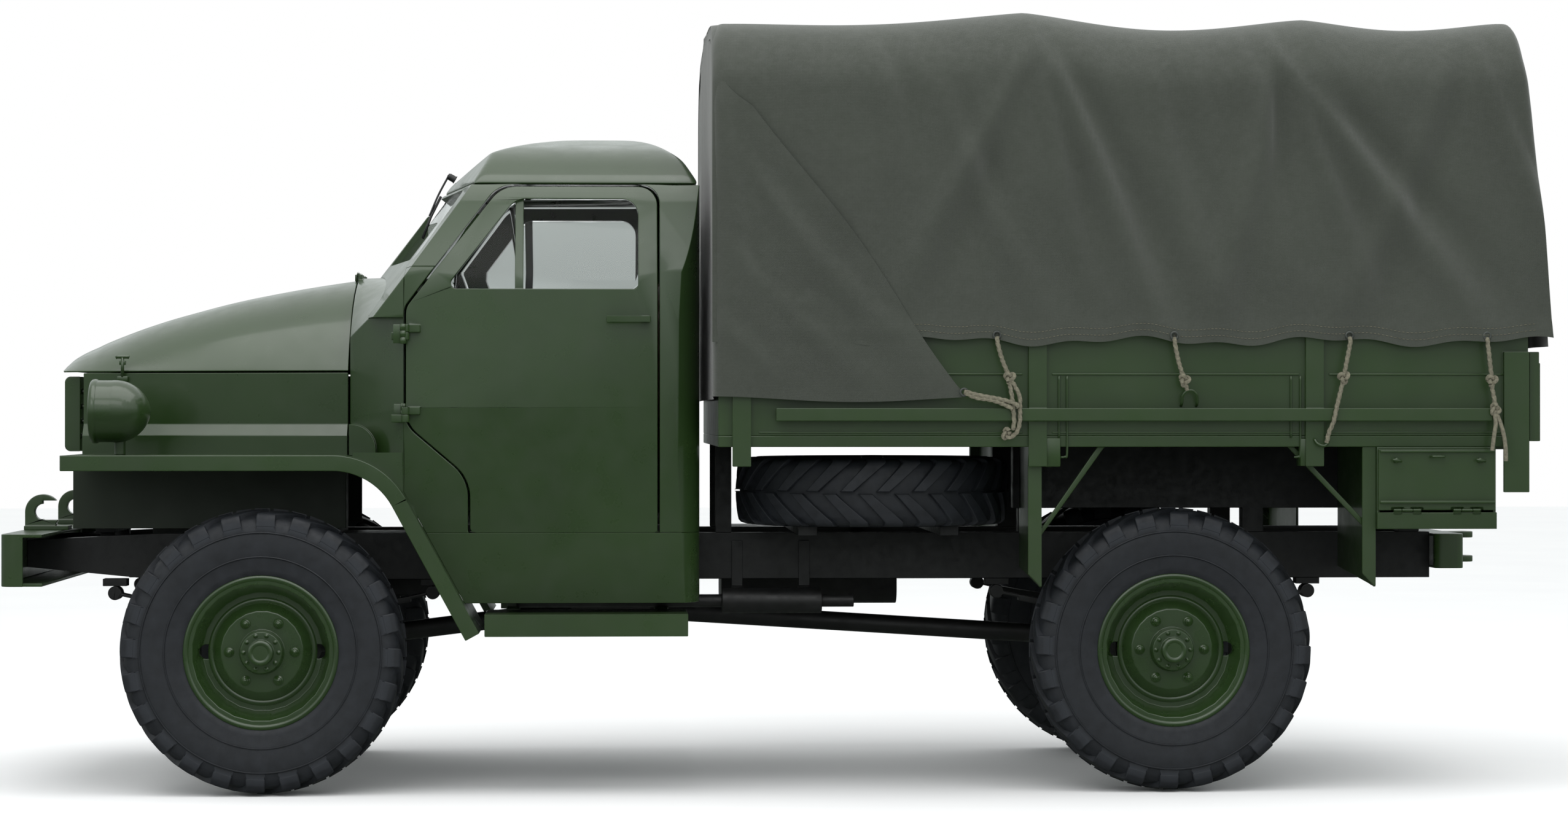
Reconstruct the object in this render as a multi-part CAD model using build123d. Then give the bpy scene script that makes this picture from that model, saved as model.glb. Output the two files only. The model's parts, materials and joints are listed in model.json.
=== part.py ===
"""Light four-wheel-drive military cargo truck with a covered bed.

Millimetres. +X forward, +Y to the driver's left, +Z up. The origin is on the ground,
below the middle of the truck.
"""
from build123d import *
import math
import os

# Overall sizes and axle places
LENGTH = 5580.0
FRONT_OVERHANG = 925.0
WHEELBASE = 3300.0
TRACK = 1600.0
CLEARANCE = 0.3
SEAM = 8.0
NOSE_X = LENGTH / 2
TAIL_X = -LENGTH / 2
FRONT_AXLE_X = NOSE_X - FRONT_OVERHANG
REAR_AXLE_X = FRONT_AXLE_X - WHEELBASE
WHEEL_Y = TRACK / 2

# Wheels
TYRE_R = 517.0
TYRE_WIDTH = 250.0
TREAD_HALF = 112.0
CARCASS_R = 490.0
SHOULDER_R = 462.0
SHOULDER_IN = 34.0
LUG_COUNT = 12
TYRE_SIDES = LUG_COUNT
LUG_ROOT_W = 42.0
LUG_TIP_W = 58.0
LUG_LEAD = 90.0
LUG_FLARE = 5.0
LUG_INNER_Y = 6.0
LUG_DEPTH = 62.0
BEAD_R = 300.0
BEAD_IN = 12.0
RIM_SIDES = 24
RIM_SEAT_R = 254.0
RIM_FLANGE_R = 280.0
RIM_FLANGE_T = 10.0
RIM_WIDTH = 214.0
GUTTER_R = 222.0
DISC_T = 14.0
DISC_Y = 30.0
CROWN_R = 180.0
CROWN_RISE = 34.0
HUB_R = 80.0
HUB_RISE = 34.0
CAP_R = 45.0
CAP_RISE = 30.0
DRUM_SPACE_R = 235.0
SPINDLE_R = 42.0
SPINDLE_REACH = 40.0
HAND_HOLE_R = 26.0
HAND_HOLE_PITCH_R = 201.0

# Axles, knuckles and springs
AXLE_Z = TYRE_R
AXLE_TUBE_R = 55.0
DIFF_R = 155.0
SNOUT = 264.0
KINGPIN_Y = 640.0
BALL_R = 80.0
HOUSING_IN_R = 88.0
HOUSING_OUT_R = 105.0
KINGPIN_R = 18.0
BACKING_R = 190.0
BACKING_T = 10.0
SPRING_Y = 366.0
SPRING_W = 65.0
LEAF_T = 11.0
LEAF_COUNT = 6
SPRING_HALF = 590.0
SPRING_RISE = 70.0
SPRING_EYE_R = 26.0

# Frame
RAIL_Y = 400.0
RAIL_FLANGE = 70.0
RAIL_T = 9.0
RAIL_BOTTOM_Z = 757.0
RAIL_TOP_Z = 930.0
RAIL_TAPER_X = FRONT_AXLE_X + 420.0
RAIL_NOSE_BOTTOM_Z = 806.0
RAIL_NOSE_TOP_Z = 906.0
RAIL_REAR_X = TAIL_X + 300.0
MEMBER_W = 60.0
MEMBER_INSET_Z = 22.0

# Bumper and tow gear
BUMPER_HALF = 940.0
BUMPER_BOTTOM_Z = 757.0
BUMPER_TOP_Z = 945.0
BUMPER_DEPTH = 150.0
BUMPER_T = 12.0
BUMPER_CORNER_R = 45.0
BUMPER_END = 68.0
RAIL_FRONT_X = NOSE_X - BUMPER_T - CLEARANCE
HOOK_Y = 400.0
HOOK_BAR = 36.0
HOOK_BASE_T = 16.0
HOOK_BASE_L = 170.0
HOOK_IN_R = 29.0
HOOK_HEIGHT = 132.0
JAW_PIN_R = 21.0
JAW_GAP = 70.0
JAW_T = 24.0
JAW_REACH = 150.0
JAW_HALF = 45.0
REAR_BEAM_HALF = 500.0
REAR_BEAM_L = 110.0
REAR_BEAM_BOTTOM_Z = 795.0
REAR_BEAM_TOP_Z = 925.0

# Hood and engine bay: columns are x behind the nose of the hood, half width, rise over the seam
HOOD_NOSE_X = FRONT_AXLE_X + 792.0
HOOD_SEAM_Z = 1536.0
HOOD_SECTIONS = (
    (0, 322, 34), (22, 352, 62), (84, 384, 96), (312, 432, 186), (615, 498, 270), (881, 560, 322), (1082, 606, 352)
)
HOOD_WALL = 26.0
BAY_BOTTOM_Z = 1221.0
LEDGE_Z = 1338.0
LEDGE_OUT = 34.0
LEDGE_SLOPE = 42.0
LEDGE_TAIL = 105.0
BAY_WALL = 22.0
HOOD_HINGE_R = 6.0
HOOD_HINGE_RISE = 20.0
HOOD_HINGE_Y = 90.0

# Fenders
FENDER_TOP_Z = 1227.0
FENDER_OUT_Y = 960.0
FENDER_FRONT_X = FRONT_AXLE_X + 709.0
FENDER_CORNER_X = FRONT_AXLE_X - 436.0
FENDER_TOE_X = FRONT_AXLE_X - 784.0
FENDER_TOE_Z = 587.0
FENDER_BEND_R = 300.0
FENDER_SHEET = 14.0
FENDER_LIP = 56.0
APRON_FRONT_X = FENDER_FRONT_X + 30.0
APRON_Y = 436.0
APRON_T = 12.0

# Cab
CAB_BACK_X = FRONT_AXLE_X - 1580.0
CAB_BOTTOM_Z = 690.0
CAB_WALL = 52.0
DOOR_FRONT_X = FRONT_AXLE_X - 517.0
BELT_Z = 1890.0
BELT_HALF = 862.0
WAIST_HALF = 880.0
WAIST_Z = 1400.0
SILL_HALF = 852.0
ROOF_SIDE_HALF = 758.0
ROOF_SIDE_Z = 2215.0
ROOF_CROWN_Z = 2436.0
ROOF_EDGE_HALF = 560.0
ROOF_EDGE_Z = 2350.0
ROOF_APEX_Z = 2464.0
ROOF_CROWN_R = 1800.0
ROOF_EDGE_R = 600.0
ROOF_CROWN_X = FRONT_AXLE_X - 1165.0
ROOF_BROW_X = FRONT_AXLE_X - 865.0
ROOF_BROW_Z = 2378.0
ROOF_SHOULDER_R = 240.0
BACK_CORNER_R = 170.0
ROOF_BACK_R = 260.0
ROOF_BACK_RUN = 185.0
ROOF_BACK_DROP = 24.0
ROOF_TAIL_RUN = 60.0
ROOF_TAIL_Z = 2318.0
ROOF_TAIL_R = 150.0
ROOF_BACK_Z = 2215.0
ROOF_FRONT_R = 800.0
ROOF_HEAD_R = 40.0
ROOF_TOP_R = 900.0
SCREEN_FOOT_X = FRONT_AXLE_X - 371.0
SCREEN_FOOT_Z = 1901.0
SCREEN_HEAD_X = FRONT_AXLE_X - 643.0
SCREEN_HEAD_Z = 2256.0
SCREEN_SWEEP = 152.0 / 820.0
SCREEN_BORDER = 46.0
SCREEN_POST = 34.0
GLASS_T = 6.0
SILL_Z = 945.0
DOOR_TOP_Z = 2206.0
DOOR_REAR_X = FRONT_AXLE_X - 1425.0
DOOR_TOE_X = FRONT_AXLE_X - 748.0
DOOR_TOE_Z = 1340.0
WINDOW_SILL_Z = 1829.0
WINDOW_BORDER = 46.0
VENT_POST_X = FRONT_AXLE_X - 939.0
VENT_POST_W = 30.0
HINGE_Y = 898.0
HINGE_R = 14.0
HINGE_H = 56.0
HINGE_ZS = (1345.0, 1642.0)
FLOOR_T = 30.0
COWL_REAR_X = DOOR_FRONT_X + SEAM
COWL_SHOULDER_Z = 1660.0
COWL_DROP = 40.0
CAB_FOOT_XS = (FRONT_AXLE_X - 865.0, FRONT_AXLE_X - 1415.0)
BACK_WINDOW_HALF = 330.0
BACK_WINDOW_Z0 = 1880.0
BACK_WINDOW_Z1 = 2130.0
BOARD_FRONT_X = FRONT_AXLE_X - 803.0
BOARD_REAR_X = FRONT_AXLE_X - 1534.0
BOARD_Z0 = 575.0
BOARD_Z1 = 655.0
BOARD_IN_Y = 620.0
BOARD_OUT_Y = 965.0
BOARD_T = 14.0

# Bed
BED_FRONT_X = FRONT_AXLE_X - 1640.0
BED_REAR_X = TAIL_X + 90.0
BED_HALF = 1058.0
BED_BOTTOM_Z = 1257.0
BED_FLOOR_T = 40.0
BED_WALL = 30.0
BED_TOP_Z = 1680.0
POST_T = 18.0
POST_W = 66.0
POST_XS = (BED_FRONT_X - 83.0, REAR_AXLE_X + 516.0, REAR_AXLE_X - 485.0)
REAR_POST_W = 92.0
REAR_POST_Z0 = 1093.0
REAR_POST_Z1 = 1600.0
BED_RAIL_Z0 = 1350.0
BED_RAIL_Z1 = 1396.0
BED_RAIL_T = 24.0
BED_RAIL_FRONT_X = BED_FRONT_X - 205.0
BED_RAIL_REAR_X = BED_REAR_X + 138.0
TAILGATE_TOP_Z = 1600.0
TAILGATE_T = 34.0
TAILGATE_HINGE_R = 14.0
SUB_SILL_Z0 = 1021.0
SUB_SILL_W = 70.0
SUB_SILL_FRONT_X = REAR_AXLE_X + 530.0

# Canvas cover and bows
COVER_T = 8.0
COVER_FRONT_X = BED_FRONT_X + 33.0
COVER_SIDE_HALF = BED_HALF + POST_T + 18.0
COVER_SHOULDER_HALF = COVER_SIDE_HALF - 36.0
COVER_SHOULDER_Z = 2650.0
COVER_EAVE_Z = 2835.0
COVER_TOP_Z = 2880.0
COVER_SHOULDER_R = 260.0
COVER_EAVE_IN = 128.0
COVER_APEX_Z = 2896.0
COVER_CROWN_R = 8000.0
COVER_HEM_Z = 1630.0
COVER_REAR_HEM_Z = 1614.0
BOW_W = 44.0
BOW_T = 26.0
BOW_DROPS = (45.0, 0.0, 21.0, 31.0)
BOW_SLACK = 8.0
BAY_SAGS = (20.0, 50.0, 31.0)
COVER_FRONT_DROP = 80.0
COVER_REAR_DROP = 110.0
BOW_XS = (BED_FRONT_X - 50.0, REAR_AXLE_X + 540.0, REAR_AXLE_X - 490.0, BED_REAR_X + 48.0)

# Spare wheel, tool box, mudguards, tank and exhaust
SPARE_X = FRONT_AXLE_X - 2236.0
SPARE_Y = 420.0
SPARE_Z = 1090.0
BOX_FRONT_X = REAR_AXLE_X - 712.0
BOX_LENGTH = 434.0
BOX_HEIGHT = 296.0
BOX_OUT_Y = BED_HALF + 17.0
BOX_IN_Y = BOX_OUT_Y - 515.0
BOX_WALL = 12.0
BOX_SEAM_UP = 60.0
GUARD_T = 10.0
GUARD_GAP = 12.0
GUARD_POINT = 46.0
GUARD_FLANGE = 44.0
GUARD_STAY_W = 26.0
GUARD_BOTTOM_Z = 755.0
GUARD_OUT_Y = BED_HALF - 8.0
GUARD_AHEAD = 504.0
GUARD_BEHIND = 706.0
TANK_LENGTH = 700.0
TANK_FRONT_X = FRONT_AXLE_X - 1695.0
TANK_IN_Y = 410.0
TANK_OUT_Y = 800.0
TANK_Z0 = 620.0
TANK_Z1 = 930.0
MUFFLER_R = 47.0
MUFFLER_FRONT_X = FRONT_AXLE_X - 1669.0
MUFFLER_REAR_X = FRONT_AXLE_X - 2041.0
MUFFLER_Y = 500.0
MUFFLER_Z = 680.0
PIPE_R = 24.0

# Running gear under the floor
ENGINE_FRONT_X = FRONT_AXLE_X + 470.0
ENGINE_REAR_X = FRONT_AXLE_X - 230.0
ENGINE_HALF = 235.0
ENGINE_Z0 = 800.0
ENGINE_Z1 = 1430.0
GEARBOX_REAR_X = FRONT_AXLE_X - 965.0
GEARBOX_HALF = 150.0
GEARBOX_Z0 = 690.0
GEARBOX_Z1 = 925.0
TRANSFER_FRONT_X = FRONT_AXLE_X - 1105.0
TRANSFER_REAR_X = FRONT_AXLE_X - 1405.0
TRANSFER_HALF = 190.0
TRANSFER_Z0 = 560.0
TRANSFER_Z1 = 880.0
SHAFT_R = 36.0
SHAFT_Z = 620.0
RADIATOR_X = FRONT_AXLE_X + 640.0
RADIATOR_T = 70.0
RADIATOR_HALF = 300.0
RADIATOR_Z0 = 930.0
RADIATOR_Z1 = 1500.0

# Guard and lamps
GUARD_BAR_X = FRONT_AXLE_X + 785.0
GUARD_BAR_DEPTH = 58.0
GUARD_BAR_T = 8.0
GUARD_BAR_Z0 = 1236.0
GUARD_BAR_Z1 = 1516.0
GUARD_BAR_COUNT = 9
GUARD_HALF = 330.0
GUARD_TIE_R = 8.0
LAMP_X = FRONT_AXLE_X + 560.0
LAMP_Y = 700.0
LAMP_Z = 1385.0
LAMP_R = 113.0
LAMP_NECK = 72.0
LAMP_TAIL = 142.0
LAMP_LENS_R = 98.0
LAMP_LENS_T = 26.0
LAMP_STALK_R = 20.0

# Cab fittings
SEAT_FRONT_X = FRONT_AXLE_X - 985.0
SEAT_REAR_X = FRONT_AXLE_X - 1445.0
SEAT_HALF = 700.0
SEAT_Z = 1330.0
CUSHION_T = 150.0
BACKREST_TOP_Z = 1860.0
WHEEL_HUB_X = FRONT_AXLE_X - 855.0
STEER_Y = 400.0
STEER_HUB_Z = 1590.0
COLUMN_FOOT_X = FRONT_AXLE_X - 535.0
COLUMN_FOOT_Z = 1060.0
COLUMN_R = 24.0
STEER_R = 215.0
STEER_GRIP_R = 13.0
STEER_SPOKE_R = 8.0
STEER_HUB_R = 40.0
STEER_HUB_H = 50.0


def block(x0, x1, y0, y1, z0, z1):
    """A box between two corners."""
    middle = Pos((x0 + x1) / 2, (y0 + y1) / 2, (z0 + z1) / 2)
    return middle * Box(abs(x1 - x0), abs(y1 - y0), abs(z1 - z0))


def outline(points, radius=0):
    """A closed face from corner points, with one radius or a radius for each corner."""
    radii = radius if isinstance(radius, (list, tuple)) else [radius] * len(points)
    if not any(radii):
        return make_face(Polyline(*points, close=True))
    return make_face(FilletPolyline(*points, radius=list(radii), close=True))


def side_plate(points, y0, y1, radius=0):
    """An outline in x and z, from y0 to y1."""
    return Pos(0, y0, 0) * extrude(Plane.XZ * outline(points, radius), amount=y0 - y1)


def cross_plate(points, x0, x1, radius=0):
    """An outline in y and z, from x0 to x1."""
    return Pos(x0, 0, 0) * extrude(Plane.YZ * outline(points, radius), amount=x1 - x0)


def plan_plate(points, z0, z1, radius=0):
    """An outline in x and y, from z0 to z1."""
    return Pos(0, 0, z0) * extrude(Plane.XY * outline(points, radius), amount=z1 - z0)


def rod(start, end, radius):
    """A round bar between two points."""
    run = Vector(*end) - Vector(*start)
    return extrude(Plane(origin=start, z_dir=run) * Circle(radius), amount=run.length)


def drum(stations, sides):
    """A many-sided drum about the y axis: stations are (y, distance to the flats)."""
    faces = []
    for y, flat in stations:
        corner = flat / math.cos(math.pi / sides)
        turns = [2 * math.pi * (k + 0.5) / sides for k in range(sides)]
        points = [(corner * math.cos(a), corner * math.sin(a)) for a in turns]
        faces.append(Pos(0, y, 0) * (Plane.XZ * outline(points)))
    return loft(faces, ruled=True)


def mirrored(shape):
    """The same piece on the other side of the truck."""
    return mirror(shape, about=Plane.XZ)


def solids_of(*shapes):
    """Every solid in the shapes, as one list."""
    found = []
    for shape in shapes:
        found.extend(shape.solids())
    return found


def save(node, *shapes):
    """Writes a node's solids to its own file."""
    solids = solids_of(*shapes)
    piece = solids[0] if len(solids) == 1 else Compound(children=solids)
    export_step(piece, f"parts/{node}.step")


# Wheels, made once about the origin with the outside at +Y

def make_lug(top_z):
    """One slanting bar of the tread over the left half of the carcass, its walls flared towards the root."""
    lead = (LUG_LEAD + (LUG_TIP_W - LUG_ROOT_W) / 2) / (TREAD_HALF - LUG_INNER_Y)
    trail = (LUG_LEAD - (LUG_TIP_W - LUG_ROOT_W) / 2) / (TREAD_HALF - LUG_INNER_Y)
    faces = []
    for z, out_y, flare in ((TYRE_R - LUG_DEPTH, TYRE_WIDTH / 2, LUG_FLARE), (top_z, TREAD_HALF, 0)):
        run = out_y - LUG_INNER_Y
        front = LUG_ROOT_W / 2 + flare - LUG_LEAD / 2
        back = -LUG_ROOT_W / 2 - flare - LUG_LEAD / 2
        points = (
            (back, LUG_INNER_Y), (front, LUG_INNER_Y), (front + lead * run, out_y), (back + trail * run, out_y),
        )
        faces.append(Pos(0, 0, z) * outline(points))
    return loft(faces, ruled=True)


def make_tyre():
    """Cross-country tyre: a many-sided carcass with slanting bars on both halves of the tread."""
    half = TYRE_WIDTH / 2
    wall_y = half - BEAD_IN / 2
    tread_y = half - SHOULDER_IN
    wall_r = SHOULDER_R - SHOULDER_IN
    carcass = drum(((-wall_y, wall_r), (-tread_y, CARCASS_R), (tread_y, CARCASS_R), (wall_y, wall_r)), TYRE_SIDES)
    corner_x = (LUG_LEAD + LUG_TIP_W) / 2
    lug = make_lug(math.sqrt(TYRE_R**2 - corner_x**2))
    first = 180 - math.degrees(math.asin(corner_x / TYRE_R))
    pitch = 360 / LUG_COUNT
    bars = []
    for k in range(LUG_COUNT):
        bars.append(Rot(0, first + pitch * k, 0) * lug)
        bars.append(Rot(0, first + pitch * (k + 0.5), 0) * mirrored(lug))
    tyre = Rot(0, first, 0) * carcass + bars
    for side in (-1, 1):
        recess = ((side * (wall_y - BEAD_IN), BEAD_R), (side * wall_y, wall_r - SHOULDER_IN))
        tyre -= drum(recess, TYRE_SIDES)
    rim_y = RIM_WIDTH / 2 - RIM_FLANGE_T
    tyre -= drum(((-half, RIM_SEAT_R), (half, RIM_SEAT_R)), RIM_SIDES)
    for side in (-1, 1):
        tyre -= drum(((side * rim_y, RIM_FLANGE_R), (side * half, RIM_FLANGE_R)), RIM_SIDES)
    return tyre


def make_rim():
    half = RIM_WIDTH / 2
    rim = drum(((-half, RIM_SEAT_R), (half, RIM_SEAT_R)), RIM_SIDES)
    for side in (-1, 1):
        rim += drum(((side * (half - RIM_FLANGE_T), RIM_FLANGE_R), (side * half, RIM_FLANGE_R)), RIM_SIDES)
    rim -= drum(((DISC_Y, GUTTER_R - 8), (half, RIM_SEAT_R - RIM_FLANGE_T)), RIM_SIDES)
    rim -= drum(((-half, DRUM_SPACE_R), (DISC_Y - DISC_T, DRUM_SPACE_R)), RIM_SIDES)
    crown_y = DISC_Y + CROWN_RISE
    hub_y = crown_y + HUB_RISE
    rim += drum(((DISC_Y, CROWN_R), (crown_y, CROWN_R - CROWN_RISE)), RIM_SIDES)
    rim += drum(((crown_y, HUB_R), (hub_y, HUB_R - 6)), RIM_SIDES)
    rim += drum(((hub_y, CAP_R), (hub_y + CAP_RISE, CAP_R - 5)), RIM_SIDES)
    rim += drum(((-SPINDLE_REACH, HUB_R), (DISC_Y, HUB_R)), RIM_SIDES)
    bore = Pos(0, -SPINDLE_REACH, 0) * extrude(
        Plane.XZ * Circle(SPINDLE_R + CLEARANCE), amount=-(SPINDLE_REACH + DISC_Y)
    )
    rim -= bore
    for side in (-1, 1):
        hole = extrude(Plane.XZ * Circle(HAND_HOLE_R), amount=-half)
        rim -= Pos(side * HAND_HOLE_PITCH_R, 0, 0) * hole
    return rim


# Axles and knuckles

def make_axle(x, end_y, nose):
    """A beam with its differential, nose +1 towards the front or -1 towards the rear."""
    tube = extrude(Plane.XZ * Circle(AXLE_TUBE_R), amount=end_y, both=True)
    bowl = Sphere(DIFF_R)
    snout = rod((0, 0, 0), (nose * SNOUT, 0, 0), AXLE_TUBE_R)
    beam = tube + bowl + snout
    for side in (-1, 1):
        pad_half = SPRING_W / 2
        y = side * SPRING_Y
        beam += block(-60, 60, y - pad_half, y + pad_half, 0, SPRING_SEAT)
    return Pos(x, 0, AXLE_Z) * beam


def make_front_axle():
    axle = make_axle(FRONT_AXLE_X, KINGPIN_Y, -1)
    for side in (-1, 1):
        centre = Pos(FRONT_AXLE_X, side * KINGPIN_Y, AXLE_Z)
        axle += centre * Sphere(BALL_R)
        axle -= centre * Cylinder(KINGPIN_R + CLEARANCE, 2 * HOUSING_OUT_R)
    return axle


def make_knuckle():
    """Ball housing, king pins, backing plate and spindle of the left front wheel."""
    centre = Pos(FRONT_AXLE_X, KINGPIN_Y, AXLE_Z)
    shell = Sphere(HOUSING_OUT_R) - Sphere(HOUSING_IN_R)
    shell &= block(-HOUSING_OUT_R, HOUSING_OUT_R, -KINGPIN_R - 6, HOUSING_OUT_R, -HOUSING_OUT_R, HOUSING_OUT_R)
    pin_half = (HOUSING_OUT_R - BALL_R * 0.6) / 2
    for side in (-1, 1):
        shell += Pos(0, 0, side * (HOUSING_OUT_R - pin_half)) * Cylinder(KINGPIN_R, 2 * pin_half)
    reach = WHEEL_Y - KINGPIN_Y + SPINDLE_REACH / 2
    spindle = Pos(0, HOUSING_IN_R + 6, 0) * extrude(
        Plane.XZ * Circle(SPINDLE_R), amount=-(reach - HOUSING_IN_R - 6)
    )
    plate = Pos(0, HOUSING_OUT_R - BACKING_T, 0) * extrude(Plane.XZ * Circle(BACKING_R), amount=-BACKING_T)
    ball_hole = Sphere(HOUSING_IN_R)
    arm = block(-190, -60, -20, 20, 60, 84)
    return centre * (shell + spindle + (plate - ball_hole) + (arm - ball_hole))


def make_rear_axle():
    end = WHEEL_Y + SPINDLE_REACH / 2
    axle = make_axle(REAR_AXLE_X, KINGPIN_Y + BALL_R, 1)
    for side in (-1, 1):
        tip = (REAR_AXLE_X, side * end, AXLE_Z)
        axle += rod((REAR_AXLE_X, side * KINGPIN_Y, AXLE_Z), tip, SPINDLE_R)
        face_y = side * (KINGPIN_Y + HOUSING_OUT_R)
        plate = rod((REAR_AXLE_X, face_y - side * BACKING_T, AXLE_Z), (REAR_AXLE_X, face_y, AXLE_Z), BACKING_R)
        axle += plate
    return axle


# Leaf springs: stacked arcs that share one centre above the axle
SPRING_SEAT = 60.0
SPRING_ARC_R = (SPRING_HALF**2 + SPRING_RISE**2) / (2 * SPRING_RISE)


def make_spring(x):
    seat_z = AXLE_Z + SPRING_SEAT
    centre_z = seat_z + LEAF_COUNT * LEAF_T + SPRING_ARC_R - LEAF_T
    pack = None
    for k in range(LEAF_COUNT):
        outer = SPRING_ARC_R + k * LEAF_T
        reach = SPRING_HALF * (1 - 0.14 * k)
        ring = Circle(outer) - Circle(outer - LEAF_T)
        band = Pos(x, SPRING_Y - SPRING_W / 2, centre_z) * extrude(Plane.XZ * ring, amount=-SPRING_W)
        window = block(x - reach, x + reach, 0, 2 * SPRING_Y, seat_z - LEAF_T, seat_z + SPRING_RISE * 2)
        leaf = band & window
        pack = leaf if pack is None else pack + leaf
    eye_z = centre_z - math.sqrt((SPRING_ARC_R - LEAF_T / 2) ** 2 - SPRING_HALF**2)
    for side in (-1, 1):
        eye = rod((x + side * SPRING_HALF, SPRING_Y - SPRING_W / 2, eye_z),
                  (x + side * SPRING_HALF, SPRING_Y + SPRING_W / 2, eye_z), SPRING_EYE_R)
        pack += eye
    return pack, eye_z


# Frame

def make_rail():
    """One channel-section side member with its open side inwards."""
    points = (
        (RAIL_FRONT_X, RAIL_NOSE_BOTTOM_Z), (RAIL_FRONT_X, RAIL_NOSE_TOP_Z), (RAIL_TAPER_X, RAIL_TOP_Z),
        (RAIL_REAR_X, RAIL_TOP_Z), (RAIL_REAR_X, RAIL_BOTTOM_Z), (RAIL_TAPER_X, RAIL_BOTTOM_Z),
    )
    inner = (
        (RAIL_FRONT_X, RAIL_NOSE_BOTTOM_Z + RAIL_T), (RAIL_FRONT_X, RAIL_NOSE_TOP_Z - RAIL_T),
        (RAIL_TAPER_X, RAIL_TOP_Z - RAIL_T), (RAIL_REAR_X, RAIL_TOP_Z - RAIL_T),
        (RAIL_REAR_X, RAIL_BOTTOM_Z + RAIL_T), (RAIL_TAPER_X, RAIL_BOTTOM_Z + RAIL_T),
    )
    rail = side_plate(points, RAIL_Y - RAIL_FLANGE, RAIL_Y)
    return rail - side_plate(inner, RAIL_Y - RAIL_FLANGE, RAIL_Y - RAIL_T)


def make_hanger(x, eye_z):
    """Bracket that holds a spring eye under a rail."""
    low = eye_z + SPRING_EYE_R + CLEARANCE
    return block(x - 45, x + 45, SPRING_Y - SPRING_W / 2, SPRING_Y + SPRING_W / 2, low, RAIL_BOTTOM_Z + RAIL_T / 2)


def make_frame(eye_z):
    frame = make_rail()
    for axle_x in (FRONT_AXLE_X, REAR_AXLE_X):
        for side in (-1, 1):
            frame += make_hanger(axle_x + side * SPRING_HALF, eye_z)
    frame += mirrored(frame)
    member_xs = (
        RAIL_FRONT_X - 90, RADIATOR_X, TRANSFER_REAR_X - 80, SPARE_X,
        REAR_AXLE_X + 330, REAR_AXLE_X - 420, RAIL_REAR_X + MEMBER_W / 2,
    )
    web_y = RAIL_Y - RAIL_T / 2
    for x in member_xs:
        low = max(RAIL_BOTTOM_Z, RAIL_NOSE_BOTTOM_Z if x > RAIL_TAPER_X else 0) + MEMBER_INSET_Z
        high = (RAIL_NOSE_TOP_Z if x > RAIL_TAPER_X else RAIL_TOP_Z) - MEMBER_INSET_Z
        frame += block(x - MEMBER_W / 2, x + MEMBER_W / 2, -web_y, web_y, low, high)
    return frame


def make_bumper():
    """A channel with its open side to the rear and rounded front corners."""
    back_x = NOSE_X - BUMPER_DEPTH
    plan = ((back_x, -BUMPER_HALF), (NOSE_X, -BUMPER_HALF), (NOSE_X, BUMPER_HALF), (back_x, BUMPER_HALF))
    corner = (0, BUMPER_CORNER_R, BUMPER_CORNER_R, 0)
    outer = plan_plate(plan, BUMPER_BOTTOM_Z, BUMPER_TOP_Z, corner)
    inner_half = BUMPER_HALF - BUMPER_T
    inner_x = NOSE_X - BUMPER_T
    hollow = ((back_x - 1, -inner_half), (inner_x, -inner_half), (inner_x, inner_half), (back_x - 1, inner_half))
    inner_r = BUMPER_CORNER_R - BUMPER_T
    bumper = outer - plan_plate(hollow, BUMPER_BOTTOM_Z + BUMPER_T, BUMPER_TOP_Z - BUMPER_T, (0, inner_r, inner_r, 0))
    end_cut = side_plate(
        ((back_x, BUMPER_BOTTOM_Z - 1), (back_x, BUMPER_TOP_Z - BUMPER_T), (back_x + BUMPER_END, BUMPER_TOP_Z - BUMPER_T),
         (back_x + BUMPER_END, BUMPER_BOTTOM_Z - 1)),
        -BUMPER_HALF, BUMPER_HALF)
    end_cut -= block(back_x, NOSE_X, -inner_half, inner_half, BUMPER_BOTTOM_Z - 1, BUMPER_TOP_Z)
    bumper -= end_cut
    return bumper


def make_hook():
    """A C-shaped tow hook on its base plate, curling to the rear."""
    base_x = NOSE_X - HOOK_BASE_L
    base = block(base_x, NOSE_X - 6, HOOK_Y - 45, HOOK_Y + 45, BUMPER_TOP_Z, BUMPER_TOP_Z + HOOK_BASE_T)
    out_r = HOOK_IN_R + HOOK_BAR
    centre_x = NOSE_X - 6 - out_r
    centre_z = BUMPER_TOP_Z + HOOK_HEIGHT - out_r
    ring = Circle(out_r) - Circle(HOOK_IN_R)
    mouth = Pos(-out_r, HOOK_IN_R * 0.2) * Rectangle(2 * out_r, out_r * 1.1)
    curl = ring - mouth
    stem = Pos((HOOK_IN_R + out_r) / 2, -out_r / 2) * Rectangle(HOOK_BAR, out_r)
    foot = Pos(HOOK_BAR * 0.2, -out_r + 2) * Rectangle(out_r * 1.7, HOOK_BAR)
    face = curl + stem + foot
    bar = Pos(centre_x, HOOK_Y - HOOK_BAR / 2, centre_z) * extrude(Plane.XZ * face, amount=-HOOK_BAR)
    keep = block(base_x, NOSE_X, HOOK_Y - 60, HOOK_Y + 60, BUMPER_TOP_Z + HOOK_BASE_T / 2, 2 * BUMPER_TOP_Z)
    return base + (bar & keep)


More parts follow.
